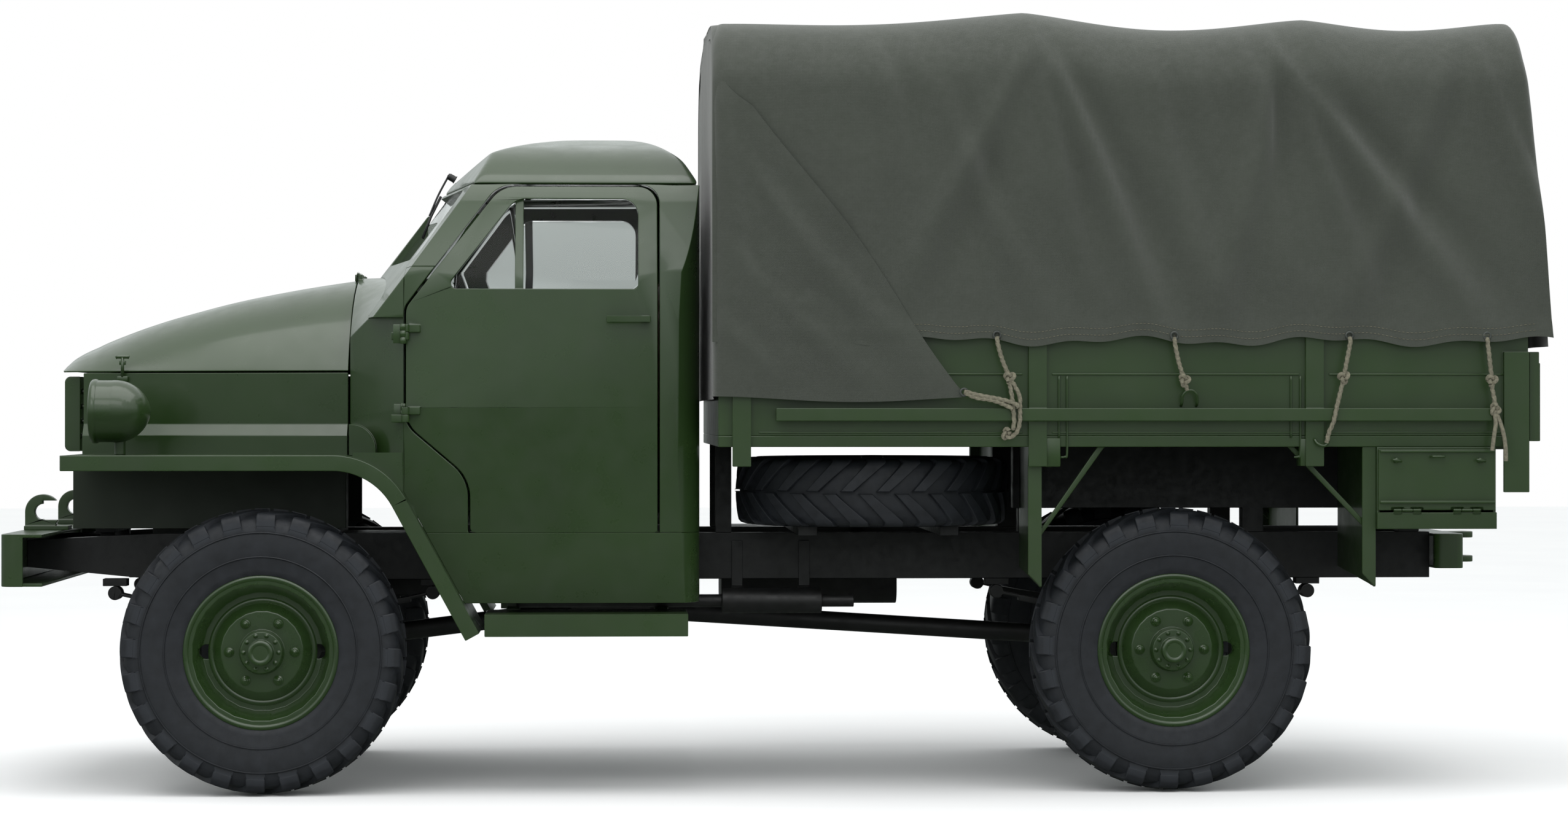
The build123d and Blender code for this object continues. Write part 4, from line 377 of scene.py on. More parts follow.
def chassis_paint(name, colour):
    """Satin black paint with fine grit and dust."""
    surface = Surface(name)
    base = surface.road_dust(surface.mottled(colour, 0.7, 1.5, 14.0), 0.10)
    return surface.shade(base, Roughness=surface.uneven(30.0, 0.36, 0.62),
                         Normal=surface.bump(surface.noise(320.0, 3.0), 0.0008, 0.25))


def rubber(name, colour):
    """Tyre rubber: matt, faintly blue, with a pale bloom on raised edges."""
    surface = Surface(name)
    base = surface.mottled(colour, 0.78, 1.25, 22.0, 6.0)
    base = surface.edge_wear(base, scaled(colour, 2.6), 0.5)
    return surface.shade(base, Roughness=surface.uneven(40.0, 0.50, 0.70), Specular_IOR_Level=0.42,
                         Normal=surface.bump(surface.noise(420.0, 3.0), 0.0006, 0.30))


def canvas(name, colour):
    """Plain-woven canvas: threads both ways in the cloth's own metres, with faded patches."""
    surface = Surface(name)
    uv = surface.new("TexCoord", {})["UV"]
    thread = {"Vector": uv, "Scale": 58.0, "Distortion": 1.2, "Detail": 2.0, "Detail Scale": 2.0}
    weave = surface.product(*[surface.new("TexWave", thread, bands_direction=way)["Fac"] for way in "XY"])
    base = surface.mottled(colour, 0.86, 1.16, 2.4, 5.0)
    base = surface.mix(surface.uneven(160.0, 0.0, 0.5, 3.0), base, scaled(colour, 1.35))
    base = surface.mix(surface.spread(weave, 0.0, 0.28, 0.0, 0.5), base, scaled(colour, 1.6))
    normal = surface.bump(weave, 0.0012, 0.35)
    return surface.shade(base, Roughness=surface.uneven(30.0, 0.78, 0.92),
                         Sheen_Weight=0.25, Sheen_Roughness=0.5,
                         Normal=surface.bump(surface.noise(18.0, 5.0), 0.006, 0.18, normal))


def glass(name, tint, roughness, clear=1.0):
    """Flat glass with a faint smear."""
    surface = Surface(name)
    return surface.shade(surface.mottled(tint, 1.0, 0.985, 2.5), Roughness=roughness,
                         Transmission_Weight=clear, IOR=1.18)


def leatherette(name, colour):
    """Grained seat covering."""
    surface = Surface(name)
    grain = surface.new("TexVoronoi", {"Vector": surface.place, "Scale": 190.0}, feature="DISTANCE_TO_EDGE")
    return surface.shade(surface.mottled(colour, 0.75, 1.25, 6.0), Roughness=surface.uneven(12.0, 0.36, 0.52),
                         Normal=surface.bump(grain["Distance"], 0.0012, 0.4))


def fibre(name, colour):
    """Natural rope fibre."""
    surface = Surface(name)
    return surface.shade(surface.mottled(colour, 0.55, 1.2, 120.0), Roughness=surface.uneven(60.0, 0.75, 0.95),
                         Normal=surface.bump(surface.noise(700.0, 3.0), 0.001, 0.5))


def pale_floor(name):
    """Pale studio floor."""
    surface = Surface(name)
    return surface.shade(surface.mix(surface.uneven(0.8), *FLOOR_TONES), Roughness=0.85)


MATERIALS = {
    "body_green": paint("body_green_enamel", BODY_GREEN),
    "bed_green": paint("bed_green_paint", BED_GREEN, gloss=0.36, coat=0.25, dust=0.10, peel=0.02),
    "wheel_green": paint("wheel_green_enamel", BODY_GREEN, gloss=0.28, coat=0.45, dust=0.0),
    "chassis_black": chassis_paint("chassis_black_paint", CHASSIS_BLACK),
    "engine_iron": chassis_paint("engine_iron_paint", ENGINE_IRON),
    "tyre": rubber("tyre_rubber", RUBBER),
    "canvas": canvas("cover_canvas", CANVAS),
    "glass": glass("pane_glass", PANE, 0.0),
    "lens": glass("lens_glass", LENS, 0.12, 0.4),
    "seat": leatherette("seat_leatherette", SEAT_BROWN),
    "grip": chassis_paint("grip_plastic", GRIP_BLACK),
}
# Painted shade: the inner aprons' paint is the body green at 0.35 of its brightness, darkened for the shadow
# they lie in
PAINTED_SHADE_GREEN = paint("apron_painted_shade_green", scaled(BODY_GREEN, 0.35), gloss=0.45, coat=0.0)
ROPE_FIBRE = fibre("rope_fibre", ROPE)


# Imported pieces

UNBEVELLED = {"glass", "lens", "tyre", "canvas", "seat"}
WELD_REACH = 0.00002
NODE_EDGE = 0.0028
ROOF_VOXEL = 0.007
ROOF_EASE = 36


def remesh(obj, voxel):
    even = obj.modifiers.new("even_mesh", "REMESH")
    even.mode = "VOXEL"
    even.voxel_size = voxel


def round_edges(obj, width, angle):
    """Rounds a piece's edges that turn by more than an angle in degrees."""
    bevel = obj.modifiers.new("soft_edges", "BEVEL")
    bevel.width = width
    bevel.segments = 2
    bevel.limit_method = "ANGLE"
    bevel.angle_limit = radians(angle)
    bevel.use_clamp_overlap = False
    return bevel


def even_normals(obj):
    normals = obj.modifiers.new("even_normals", "WEIGHTED_NORMAL")
    normals.keep_sharp = False
    normals.weight = 60


def dress_nodes():
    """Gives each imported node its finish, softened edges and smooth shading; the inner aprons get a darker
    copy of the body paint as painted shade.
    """
    slots = {row["node"]: row["material_slot"] for row in frame["record"]["subparts"]}
    for name, obj in frame["nodes"].items():
        slot = slots[name]
        faces = len(obj.data.polygons)
        obj.data.materials.clear()
        # The inner aprons take the darker paint, which is painted shade
        obj.data.materials.append(PAINTED_SHADE_GREEN if name == "inner_aprons" else MATERIALS[slot])
        obj.data.polygons.foreach_set("material_index", [0] * faces)
        obj.data.polygons.foreach_set("use_smooth", [True] * faces)
        bpy.context.view_layer.objects.active = obj
        bpy.ops.mesh.customdata_custom_splitnormals_clear()
        obj.modifiers.new("weld", "WELD").merge_threshold = WELD_REACH
        if name == "cab_roof":
            remesh(obj, ROOF_VOXEL)
            dome = obj.modifiers.new("dome", "SMOOTH")
            dome.factor = 0.5
            dome.iterations = ROOF_EASE
        elif slot not in UNBEVELLED:
            round_edges(obj, NODE_EDGE, 32).miter_outer = "MITER_ARC"
        even_normals(obj)


# Canvas cover

def even_section(count):
    """The section's smooth line cut into equal steps."""
    line = curve_points([(w, z, 0) for w, z in SECTION], 24)
    lengths = [0.0]
    for a, b in zip(line, line[1:]):
        lengths.append(lengths[-1] + (b - a).length)
    found = []
    k = 0
    for i in range(count + 1):
        want = lengths[-1] * i / count
        while k < len(lengths) - 2 and lengths[k + 1] < want:
            k += 1
        t = (want - lengths[k]) / max(1e-9, lengths[k + 1] - lengths[k])
        p = line[k].lerp(line[k + 1], t)
        found.append((p.x, p.y))
    return found, lengths[-1]


SECTION_LINE, SECTION_LENGTH = even_section(SECTION_STEPS)


def bay_drop(x):
    """How far a straight cloth lies below the highest bow at x, and how far it sags below that."""
    if x >= BOW_XS[0]:
        return BOW_DROPS[0], 0.0
    for i, sag in enumerate(BAY_SAGS):
        if x >= BOW_XS[i + 1]:
            t = (x - BOW_XS[i + 1]) / (BOW_XS[i] - BOW_XS[i + 1])
            return BOW_DROPS[i + 1] + (BOW_DROPS[i] - BOW_DROPS[i + 1]) * t, sag * sin(pi * t) ** 1.3
    return BOW_DROPS[-1], 0.0


def bow_hug(x):
    """0 where the cloth lies on a bow, 1 well away from it."""
    near = min(abs(x - bow) for bow in BOW_XS)
    return clamp((near - 0.035) / 0.10)


def fold_shift(x, z, folds):
    """Outward shift of the cloth from its creases at a place on the side."""
    shift = 0.0
    for x0, z0, x1, z1, width, depth in folds:
        dx, dz = x1 - x0, z1 - z0
        size = hypot(dx, dz)
        t = ((x - x0) * dx + (z - z0) * dz) / size ** 2
        if not -0.1 < t < 1.1:
            continue
        bend = 0.035 * sin(3.0 * t + 9.0 * x0)
        d = ((x - x0) * dz - (z - z0) * dx) / size + bend
        fade = sin(pi * clamp((t + 0.1) / 1.2)) ** 0.7
        wide = width * (0.6 + 0.8 * t)
        ridge = exp(-(d / wide) ** 2)
        dip = exp(-((d - 1.7 * wide) / (1.3 * wide)) ** 2)
        shift += depth * fade * (ridge - 0.85 * dip)
    return shift


def ripple(x, y, z, size=RIPPLE):
    """Small unevenness of the cloth."""
    return size * noise.fractal(Vector((x * 3.1, y * 3.1, z * 2.3)), 1.0, 2.0, 4)


def hem_drop(x):
    """Wavy lower edge, highest between the lashings."""
    return HEM_WAVE * sin(9.3 * x + 0.8) + 0.008 * sin(23.0 * x)


def side_place(x, share, side):
    """A point on the cover's skin: share 0 at the crown to 1 at the hem, side +1 left or -1 right."""
    half, z = SECTION_LINE[round(share * SECTION_STEPS)]
    drop, sag = bay_drop(x)
    keep = 1.0 if share < DROP_FADES else max(0.0, 1.0 - (share - DROP_FADES) * 2.4)
    flank = max(0.0, 1.0 - abs(share - 0.60) / 0.30)
    z -= (drop + sag) * keep
    fold_x = x if side > 0 else MIRROR_X - x
    shift = -sag * 0.45 * flank
    if share > FOLDS_FROM:
        shift += FOLD_GAIN * fold_shift(fold_x, z, FOLDS) * min(1.0, (share - FOLDS_FROM) * 4.0)
        shift += ripple(x, side * 2.0, z) * min(1.0, (share - FOLDS_FROM) * 3.0)
    else:
        z += max(-BOW_ROOM, ripple(x, half * side, 5.0))
    if shift < -BOW_ROOM:
        shift = -BOW_ROOM + (shift + BOW_ROOM) * bow_hug(x)
    half += shift
    if share > HEM_SHARE:
        half += HEM_THICK
    z += hem_drop(fold_x) * max(0.0, (share - 0.8) / 0.2) ** 1.5
    low = clamp((2.70 - z) / 1.07)
    rear = clamp((-2.0 - x) / 0.70)
    return Vector((x - REAR_SLANT * low * rear ** 1.5, side * half, z))


def rounded_end(x, reach, drop):
    """Rows from x round an end of the cover, each with its x and its drop."""
    turns = [k / 8 * pi / 2 for k in range(1, 9)]
    return [(x + reach * sin(turn), drop * (1 - cos(turn))) for turn in turns]


def cover_rows():
    """x of each row along the cover, with the drop towards its rounded ends."""
    front, rear = COVER_HIGH.x - 0.060, REAR_TOP_X + REAR_ROUND[0]
    rows = [(front + (rear - front) * i / COVER_STEPS, 0.0) for i in range(COVER_STEPS + 1)]
    return rounded_end(front, *FRONT_ROUND)[::-1] + rows + rounded_end(rear, -REAR_ROUND[0], REAR_ROUND[1])


def make_cover():
    """The roof and sides of the canvas, one sheet from hem to hem."""
    rows = cover_rows()
    verts, coords = [], []
    for x, drop in rows:
        for k in range(-SECTION_STEPS, SECTION_STEPS + 1):
            share = abs(k) / SECTION_STEPS
            point = side_place(x, share, 1 if k <= 0 else -1)
            inward = drop * clamp((share - 0.35) / 0.15) * clamp((0.80 - share) / 0.3) * 0.6
            point.z -= drop * clamp((0.60 - share) / 0.20)
            point.y -= copysign(min(abs(point.y), inward), point.y)
            verts.append(point)
            coords.append((x, k / SECTION_STEPS * SECTION_LENGTH))
    cover, area = add_cloth("cover_canvas", verts, coords, len(rows), 2 * SECTION_STEPS + 1)
    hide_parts("cover")


def make_rear_curtain():
    """Rear end of the canvas, hung from the last bow."""
    rows, cols = 60, 121
    verts, coords = [], []
    x_top = REAR_TOP_X + 0.006
    for r in range(rows + 1):
        t = r / rows
        for c in range(cols):
            y = (c / (cols - 1) * 2 - 1) * CURTAIN_HALF
            crown = crown_height(abs(y)) - CURTAIN_DROP
            z = crown + (COVER_LOW.z + 0.004 - crown) * t
            lean = -(REAR_SLANT - 0.012) * t
            wave = 0.009 * sin(14.0 * y + 1.0) * t + 0.004 * sin(31.0 * y) * t
            x = x_top + lean + wave * 0.6 + ripple(3.0, y, z)
            verts.append(Vector((x, y * (1 + 0.036 * t), z)))
            coords.append((y, z))
    curtain, area = add_cloth("cover_rear_curtain", verts, coords, rows + 1, cols)


def crown_height(half):
    """Height of the cover's section at a half width, above its shoulder."""
    for (w0, z0), (w1, z1) in zip(SECTION_LINE, SECTION_LINE[1:]):
        if w0 <= half <= w1:
            return z0 + (z1 - z0) * (half - w0) / max(1e-9, w1 - w0)
    return SECTION_LINE[-1][1]


def flap_edge(z):
    """x of the free diagonal edge of the front flap at a height."""
    (x0, z0), (x1, z1) = FLAP_TOP, FLAP_TIP
    t = clamp((z0 - z) / (z0 - z1))
    return x0 + (x1 - x0) * t ** 0.93 + 0.012 * sin(9.0 * t)


def share_at(z):
    """Share round the section whose height is z."""
    for i, (_, height) in enumerate(SECTION_LINE):
        if height <= z:
            return i / SECTION_STEPS
    return 1.0


def flap_rows(corner_x):
    """Half width and height of each row of the front flap, and the height of the cover's hem."""
    rows = []
    for i, (w, z) in enumerate(SECTION_LINE):
        sheet_z = side_place(corner_x, i / SECTION_STEPS, 1).z - 0.004
        z += (sheet_z - z) * clamp((z - 2.3) / 0.4)
        if i >= 2 and (not rows or rows[-1][1] - z > 0.004):
            rows.append((w, z))
    w_hem, z_hem = rows[-1]
    for k in range(1, FLAP_BELOW + 1):
        rows.append((w_hem - 0.006 * k / FLAP_BELOW, z_hem + (FLAP_HEM_Z - z_hem) * k / FLAP_BELOW))
    return rows, z_hem


def make_front_flap():
    """Front end of the canvas, wrapped back along both sides to a free diagonal edge."""
    corner_x = COVER_HIGH.x - 0.012
    side_cols, front_cols = 46, 60
    heights, z_hem = flap_rows(corner_x)
    verts, coords = [], []
    for w, z in heights:
        over = clamp((2.60 - z) / 0.12)
        edge_x = flap_edge(z) * over + (corner_x - 0.03) * (1 - over)
        parts = []
        for side in (1, -1):
            part = []
            for c in range(side_cols):
                x = edge_x + (corner_x - edge_x) * (c / (side_cols - 1))
                base = abs(side_place(x, share_at(z), side).y) if z > z_hem else w
                y = w - 0.008 + over * (max(w, base) - w + 0.018)
                y += over * max(-0.006, fold_shift(x, z, FLAP_FOLDS) + ripple(x, side * 4.0, z))
                if z < z_hem + 0.15:
                    y = max(y, FLAP_HEM_HALF + 0.008 * sin(11.0 * x + 2.0))
                turn = max(0.0, 1 - (corner_x - x) / FLAP_CORNER)
                y -= FLAP_CORNER * (1 - sqrt(max(0.0, 1 - turn ** 2)))
                wave = 0.010 * sin(6.0 * x) * max(0.0, 1 - (z - FLAP_HEM_Z) / 0.05)
                part.append(Vector((x, side * y, z + wave)))
            parts.append(part)
        left, right = parts[0], parts[1][::-1]
        middle = []
        for c in range(1, front_cols):
            t = c / front_cols
            y = left[-1].y + (right[0].y - left[-1].y) * t
            bulge = 0.010 * sin(pi * t) + ripple(9.0, y, z, 0.005)
            middle.append(Vector((min(corner_x + 0.008, corner_x - 0.004 + bulge * 0.8), y, z)))
        line = left + middle + right
        run = 0.0
        for i, p in enumerate(line):
            run += (p - line[i - 1]).length if i else 0.0
            verts.append(p)
            coords.append((run, z))
    flap, area = add_cloth("cover_front_flap", verts, coords, len(heights), 2 * side_cols + front_cols - 1)


# Tyres and wheels

LUGS = 24
LUG_ROUND = 0.004
LUG_LEAD = 0.85
LUG_FLARE = 1.12
TREAD_HALF = 0.108
TYRE_STEPS = 96
# Carcass profile: distance from the axle and distance from the middle plane
CARCASS = ((0.262, 0.098), (0.285, 0.112), (0.300, 0.113), (0.330, 0.118), (0.380, 0.124), (0.425, 0.124),
           (0.455, 0.119), (0.478, 0.108), (0.492, 0.085), (0.496, 0.045), (0.497, 0.0))
# Beads on the tyre's walls: distance from the axle and from the middle plane
WALL_BEADS = ((0.345, 0.1195), (0.432, 0.1235))
WALL_BEAD_R = 0.0035
# Nuts of the wheel and bolts of the hub: count, pitch radius, height and size
WHEEL_BOLTS = ((6, 0.118, 0.064, 0.0135), (10, 0.063, 0.098, 0.0062))
# Locking ring, hub cap's rim and bead of the disc: radius and height
LOCK_RING = ((0.256, 0.098), (0.259, 0.108), (0.264, 0.113), (0.271, 0.114), (0.277, 0.111), (0.280, 0.104))
CAP_RIM = ((0.044, 0.1275), (0.041, 0.1305), (0.036, 0.1315), (0.030, 0.130), (0.026, 0.1275))
DISC_BEAD = ((0.196, 0.030), (0.192, 0.0345), (0.186, 0.036), (0.180, 0.0355), (0.176, 0.032))


def tread_height(y):
    """Radius of the lug tops across the tread."""
    return TYRE_R - LUG_ROUND - 0.010 * (abs(y) / TREAD_HALF) ** 2


def lug_section():
    """One bar of the tread: distance from the middle plane, low and high radius, half its width."""
    rows = []
    for k in range(9):
        t = k / 8
        y = 0.004 + t * (TREAD_HALF - 0.004)
        rows.append((y, 0.486 - 0.02 * t, tread_height(y), 0.024 + 0.011 * t))
    rows.append((TREAD_HALF + 0.010, 0.452, 0.494, 0.036))
    rows.append((TREAD_HALF + 0.017, 0.440, 0.472, 0.037))
    rows.append((TREAD_HALF + 0.016, 0.436, 0.452, 0.036))
    return rows


def add_tyre(heap, matrix, sense):
    """A cross-country tyre about y with chevron bars; sense is the way their outer ends lead."""
    upright = matrix @ Matrix.Rotation(-pi / 2, 4, "X")
    heap.lathe(CARCASS + tuple((r, -y) for r, y in reversed(CARCASS[:-1])), TYRE_STEPS, upright)
    section = lug_section()
    last = 4 * (len(section) - 1)
    for side in (1, -1):
        faces = grid_faces(len(section), 4) + [(0, 1, 2, 3), (last + 3, last + 2, last + 1, last)]
        if side < 0:
            faces = [tuple(reversed(f)) for f in faces]
        for k in range(LUGS):
            centre = 2 * pi * (k + (0.5 if side < 0 else 0.0)) / LUGS
            verts = []
            for y, low, high, wide in section:
                lead = sense * LUG_LEAD * min(1.0, y / TREAD_HALF) * (2 * pi / LUGS)
                foot = wide * LUG_FLARE
                for radius, w in ((low, foot), (high, wide), (high, -wide), (low, -foot)):
                    a = centre + lead + w / TYRE_R
                    verts.append((radius * sin(a), side * y, radius * cos(a)))
            heap.add(verts, faces, matrix)
    turns = [k * pi / 3 for k in range(7)]
    for bead_r, y in WALL_BEADS:
        bead = [(WALL_BEAD_R * cos(a) + bead_r, WALL_BEAD_R * sin(a)) for a in turns]
        for side in (1, -1):
            heap.lathe([(r, h + side * y) for r, h in bead], TYRE_STEPS, upright)


def soften(obj, width):
    """Rounds a piece's edges and evens its shading."""
    round_edges(obj, width, 40.0)
    even_normals(obj)


def wheel_places():
    """Name, body, tyre node and place of each wheel, outside towards +y before the place is applied."""
    found = []
    for corner in ("front_left", "front_right", "rear_left", "rear_right"):
        low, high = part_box("tyre_" + corner)
        rim_low, rim_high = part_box("rim_" + corner)
        axle = (rim_low + rim_high) / 2
        place = Matrix.Translation((axle.x, (low.y + high.y) / 2, axle.z))
        if corner.endswith("right"):
            place = place @ Matrix.Rotation(pi, 4, "Z")
        found.append((corner, "wheel_" + corner, "tyre_" + corner, place))
    low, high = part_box("spare_tyre")
    place = Matrix.Translation((low + high) / 2) @ Matrix.Rotation(pi / 2, 4, "X")
    return found + [("spare", "chassis", "spare_tyre", place)]


def make_wheels():
    """Each wheel's tyre, nuts and rings."""
    for name, body, node, place in wheel_places():
        heap = Heap()
        add_tyre(heap, place, -1 if name.endswith("right") else 1)
        tyre = heap.make("tread_" + name, body, "tyre")
        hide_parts(node)
        soften(tyre, LUG_ROUND)
        add_wheel_trim(name, body, place)


def facing(place, normal, spin=0.0):
    """A matrix that stands z on a place along its normal."""
    turn = Vector(normal).to_track_quat("Z", "Y").to_matrix().to_4x4()
    return Matrix.Translation(place) @ turn @ Matrix.Rotation(spin, 4, "Z")


def add_bolt(heap, matrix, size):
    """A hexagon nut on a washer, with the end of its stud."""
    heap.prism(size * 1.4, 0.0, size * 0.22, 18, matrix)
    heap.prism(size, size * 0.22, size * 1.05, 6, matrix, size * 0.94)
    heap.prism(size * 0.5, size * 1.05, size * 1.4, 10, matrix, size * 0.4)


def add_wheel_trim(name, body, place):
    """Wheel nuts, hub bolts, the locking ring and the beads of the disc."""
    heap = Heap()
    for count, radius, y, size in WHEEL_BOLTS:
        for k in range(count):
            a = 2 * pi * (k + 0.5) / count
            spot = facing((radius * sin(a), y, radius * cos(a)), (0, 1, 0), a)
            add_bolt(heap, place @ spot, size)
    turn = place @ Matrix.Rotation(-pi / 2, 4, "X")
    for profile, segments in ((LOCK_RING, 96), (CAP_RIM, 48), (DISC_BEAD, 96)):
        heap.lathe(profile, segments, turn)
    heap.make("wheel_nuts_" + name, body, "wheel_green")


# Rope lashings of the cover

ROPE_R = 0.0075
ROPE_TWIST = 95.0
KNOT_R = 0.0175
GROMMET_R, GROMMET_WIRE = 0.0125, 0.0042
HOOK_WIRE = 0.0052
# Strands on the left side: x and z of each point, then how far outside the centre plane
LASHINGS = (
    ((-0.770, 1.652, 1.103), (-0.772, 1.626, 1.106), (-0.789, 1.566, 1.106), (-0.814, 1.508, 1.104)),
    ((-0.814, 1.502, 1.104), (-0.817, 1.470, 1.106), (-0.822, 1.440, 1.108), (-0.827, 1.400, 1.1085),
     (-0.830, 1.345, 1.1085), (-0.826, 1.318, 1.103)),
    ((-0.818, 1.502, 1.104), (-0.838, 1.465, 1.106), (-0.850, 1.440, 1.108), (-0.851, 1.400, 1.1085),
     (-0.850, 1.345, 1.1085), (-0.838, 1.308, 1.104), (-0.815, 1.290, 1.100)),
    ((-0.651, 1.453, 1.108), (-0.693, 1.434, 1.110), (-0.754, 1.424, 1.111), (-0.805, 1.404, 1.1145),
     (-0.824, 1.392, 1.120)),
    ((-0.651, 1.457, 1.108), (-0.700, 1.443, 1.110), (-0.784, 1.427, 1.112), (-0.832, 1.412, 1.118),
     (-0.845, 1.398, 1.120)),
    ((-1.407, 1.650, 1.103), (-1.409, 1.627, 1.107), (-1.422, 1.562, 1.108), (-1.441, 1.505, 1.102)),
    ((-1.443, 1.495, 1.102), (-1.449, 1.478, 1.098), (-1.456, 1.462, 1.090)),
    ((-2.042, 1.652, 1.103), (-2.041, 1.627, 1.107), (-2.028, 1.560, 1.108), (-2.020, 1.515, 1.106)),
    ((-2.018, 1.500, 1.106), (-2.010, 1.471, 1.107), (-1.993, 1.402, 1.109), (-1.980, 1.345, 1.109),
     (-1.966, 1.310, 1.102), (-1.959, 1.272, 1.094)),
    ((-2.539, 1.650, 1.103), (-2.541, 1.628, 1.107), (-2.547, 1.572, 1.108), (-2.555, 1.505, 1.106)),
    ((-2.556, 1.490, 1.106), (-2.557, 1.467, 1.106), (-2.566, 1.420, 1.107), (-2.569, 1.396, 1.106)),
)
KNOTS = ((-0.815, 1.505, 1.104, 0.0), (-0.806, 1.303, 1.100, 0.9), (-1.444, 1.497, 1.102, 0.3),
         (-2.019, 1.507, 1.106, -0.2), (-2.556, 1.496, 1.106, 0.1), (-2.568, 1.392, 1.106, 0.7))
GROMMETS = ((-0.770, 1.657), (-1.407, 1.656), (-2.042, 1.657), (-2.539, 1.656))
TAILS = (
    ("long", ((-2.569, 1.384, 1.108), (-2.589, 1.338, 1.112), (-2.606, 1.262, 1.110), (-2.606, 1.206, 1.108))),
    ("short", ((-2.563, 1.384, 1.108), (-2.571, 1.350, 1.113), (-2.562, 1.300, 1.112), (-2.556, 1.244, 1.110))),
)
# Staple and hook on the left side, in the same order
STAPLE = ((-1.438, 1.404, 1.056), (-1.438, 1.415, 1.076), (-1.440, 1.440, 1.086), (-1.452, 1.456, 1.090),
          (-1.466, 1.460, 1.091), (-1.480, 1.456, 1.090), (-1.491, 1.440, 1.086), (-1.493, 1.415, 1.076),
          (-1.493, 1.404, 1.056))
HOOK = ((-1.915, 1.292, 1.050), (-1.918, 1.284, 1.078), (-1.926, 1.270, 1.088), (-1.940, 1.262, 1.092),
        (-1.955, 1.262, 1.092), (-1.964, 1.274, 1.092), (-1.962, 1.288, 1.092))
FLAP_GROMMET = (-0.651, 1.453, 1.1065)
# Stitches of the hem: first x, count, half length, thickness and the rows' shares round the section
STITCH_FROM, STITCHES, STITCH_HALF, STITCH_R = 0.20, 210, 0.0038, 0.0009
STITCH_SHARES = (0.9865, 0.978)


def on_side(points, side):
    """Points of x, z and distance outwards, on the left or the right side."""
    return [(x, side * y, z) for x, z, y in points]


def trefoil(centre, size, spin, side):
    """Points of a closed overhand knot seen from the side."""
    points = []
    for k in range(48):
        t = 2 * pi * k / 48
        u = (sin(t) + 2 * sin(2 * t)) / 3 * size
        v = (cos(t) - 2 * cos(2 * t)) / 3 * size
        w = -sin(3 * t) * size * 0.42
        a = u * cos(spin) - v * sin(spin)
        b = u * sin(spin) + v * cos(spin)
        points.append(Vector((centre[0] + a, side * (centre[2] + w), centre[1] + b * 1.15)))
    return points


def make_lashings():
    """Taut lashings from the hem's grommets to the rail and hooks, each with its knots."""
    turns = [2 * pi * k / 8 for k in range(9)]
    eyelet = [(GROMMET_R + GROMMET_WIRE * cos(a), GROMMET_WIRE * sin(a)) for a in turns]
    for side, label in SIDES:
        ropes, metal, hooks = Heap(), Heap(), Heap()
        for strand in LASHINGS:
            ropes.add(*tube(curve_points(on_side(strand, side), 14), ROPE_R, 12, 3, ROPE_TWIST))
        for x, z, y, spin in KNOTS:
            knot = trefoil((x, z, y), KNOT_R, spin, side)
            ropes.add(*tube(knot, ROPE_R * 0.92, 10, 3, ROPE_TWIST, wrap=True))
        eyes = [(x, z, abs(side_place(x, share_at(z), side).y) + 0.003) for x, z in GROMMETS]
        for spot in on_side(eyes + [FLAP_GROMMET], side):
            metal.lathe(eyelet, 28, facing(spot, (0, side, 0)))
        for line in (STAPLE, HOOK):
            hooks.add(*tube(curve_points(on_side(line, side), 8), HOOK_WIRE, 12))
        ropes.make("lashings_" + label, "chassis", material=ROPE_FIBRE)
        metal.make("grommets_" + label, "chassis", "engine_iron")
        hooks.make("lashing_hooks_" + label, "chassis", "bed_green")
        for tail, line in TAILS:
            add_tail("rope_tail_%s_%s" % (tail, label), on_side(line, side))


def add_tail(name, points):
    """A free end of rope as one open curve."""
    data = bpy.data.curves.new(name, "CURVE")
    data.dimensions = "3D"
    data.bevel_depth = ROPE_R
    data.bevel_resolution = 4
    data.use_fill_caps = True
    line = data.splines.new("NURBS")
    line.points.add(len(points) - 1)
    for spot, place in zip(line.points, points):
        spot.co = (*place, 1.0)
    line.order_u = 3
    line.use_endpoint_u = True
    line.resolution_u = 16
    data.materials.append(ROPE_FIBRE)
    tail = new_object(name, data)
    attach(tail, "chassis")


def make_stitches():
    """Two rows of thread along the cover's hem."""
    run = REAR_TOP_X + 0.05 - STITCH_FROM
    for side, label in SIDES:
        heap = Heap()
        lift = Vector((0, side * 0.0008, 0))
        for k in range(STITCHES):
            x = STITCH_FROM + run * (k + 0.5) / STITCHES
            for share in STITCH_SHARES:
                a = side_place(x + STITCH_HALF, share, side)
                b = side_place(x - STITCH_HALF, share, side)
                heap.add(*tube([a + lift, (a + b) / 2 + lift * 1.6, b + lift], STITCH_R, 5))
        heap.make("hem_stitches_" + label, "chassis", material=ROPE_FIBRE)


# Hood and seat

# Distance behind the nose, half width and rise above the seam
HOOD_ROWS = ((0.0, 0.322, 0.034), (0.022, 0.352, 0.062), (0.084, 0.384, 0.096), (0.312, 0.432, 0.186),
             (0.615, 0.498, 0.270), (0.881, 0.560, 0.322), (1.082, 0.606, 0.352))
HOOD_SEAM_Z = 1.536
HOOD_EASE = 0.10
HOOD_THICK = 0.006
HINGE_Z = HOOD_SEAM_Z + HOOD_ROWS[-1][2] + 0.020
# Hinge barrel: radius and height
BARREL = ((0.001, -0.020), (0.0060, -0.0195), (0.0062, 0.0), (0.0060, 0.0195), (0.001, 0.020))
BARREL_YS = (-0.090, 0.090)


def hood_between(back):
    """Half width and rise of the hood on straight lines between its rows."""
    for (b0, w0, h0), (b1, w1, h1) in zip(HOOD_ROWS, HOOD_ROWS[1:]):
        if back <= b1 + 1e-9:
            t = (back - b0) / (b1 - b0)
            return w0 + (w1 - w0) * t, h0 + (h1 - h0) * t
    return HOOD_ROWS[-1][1:]


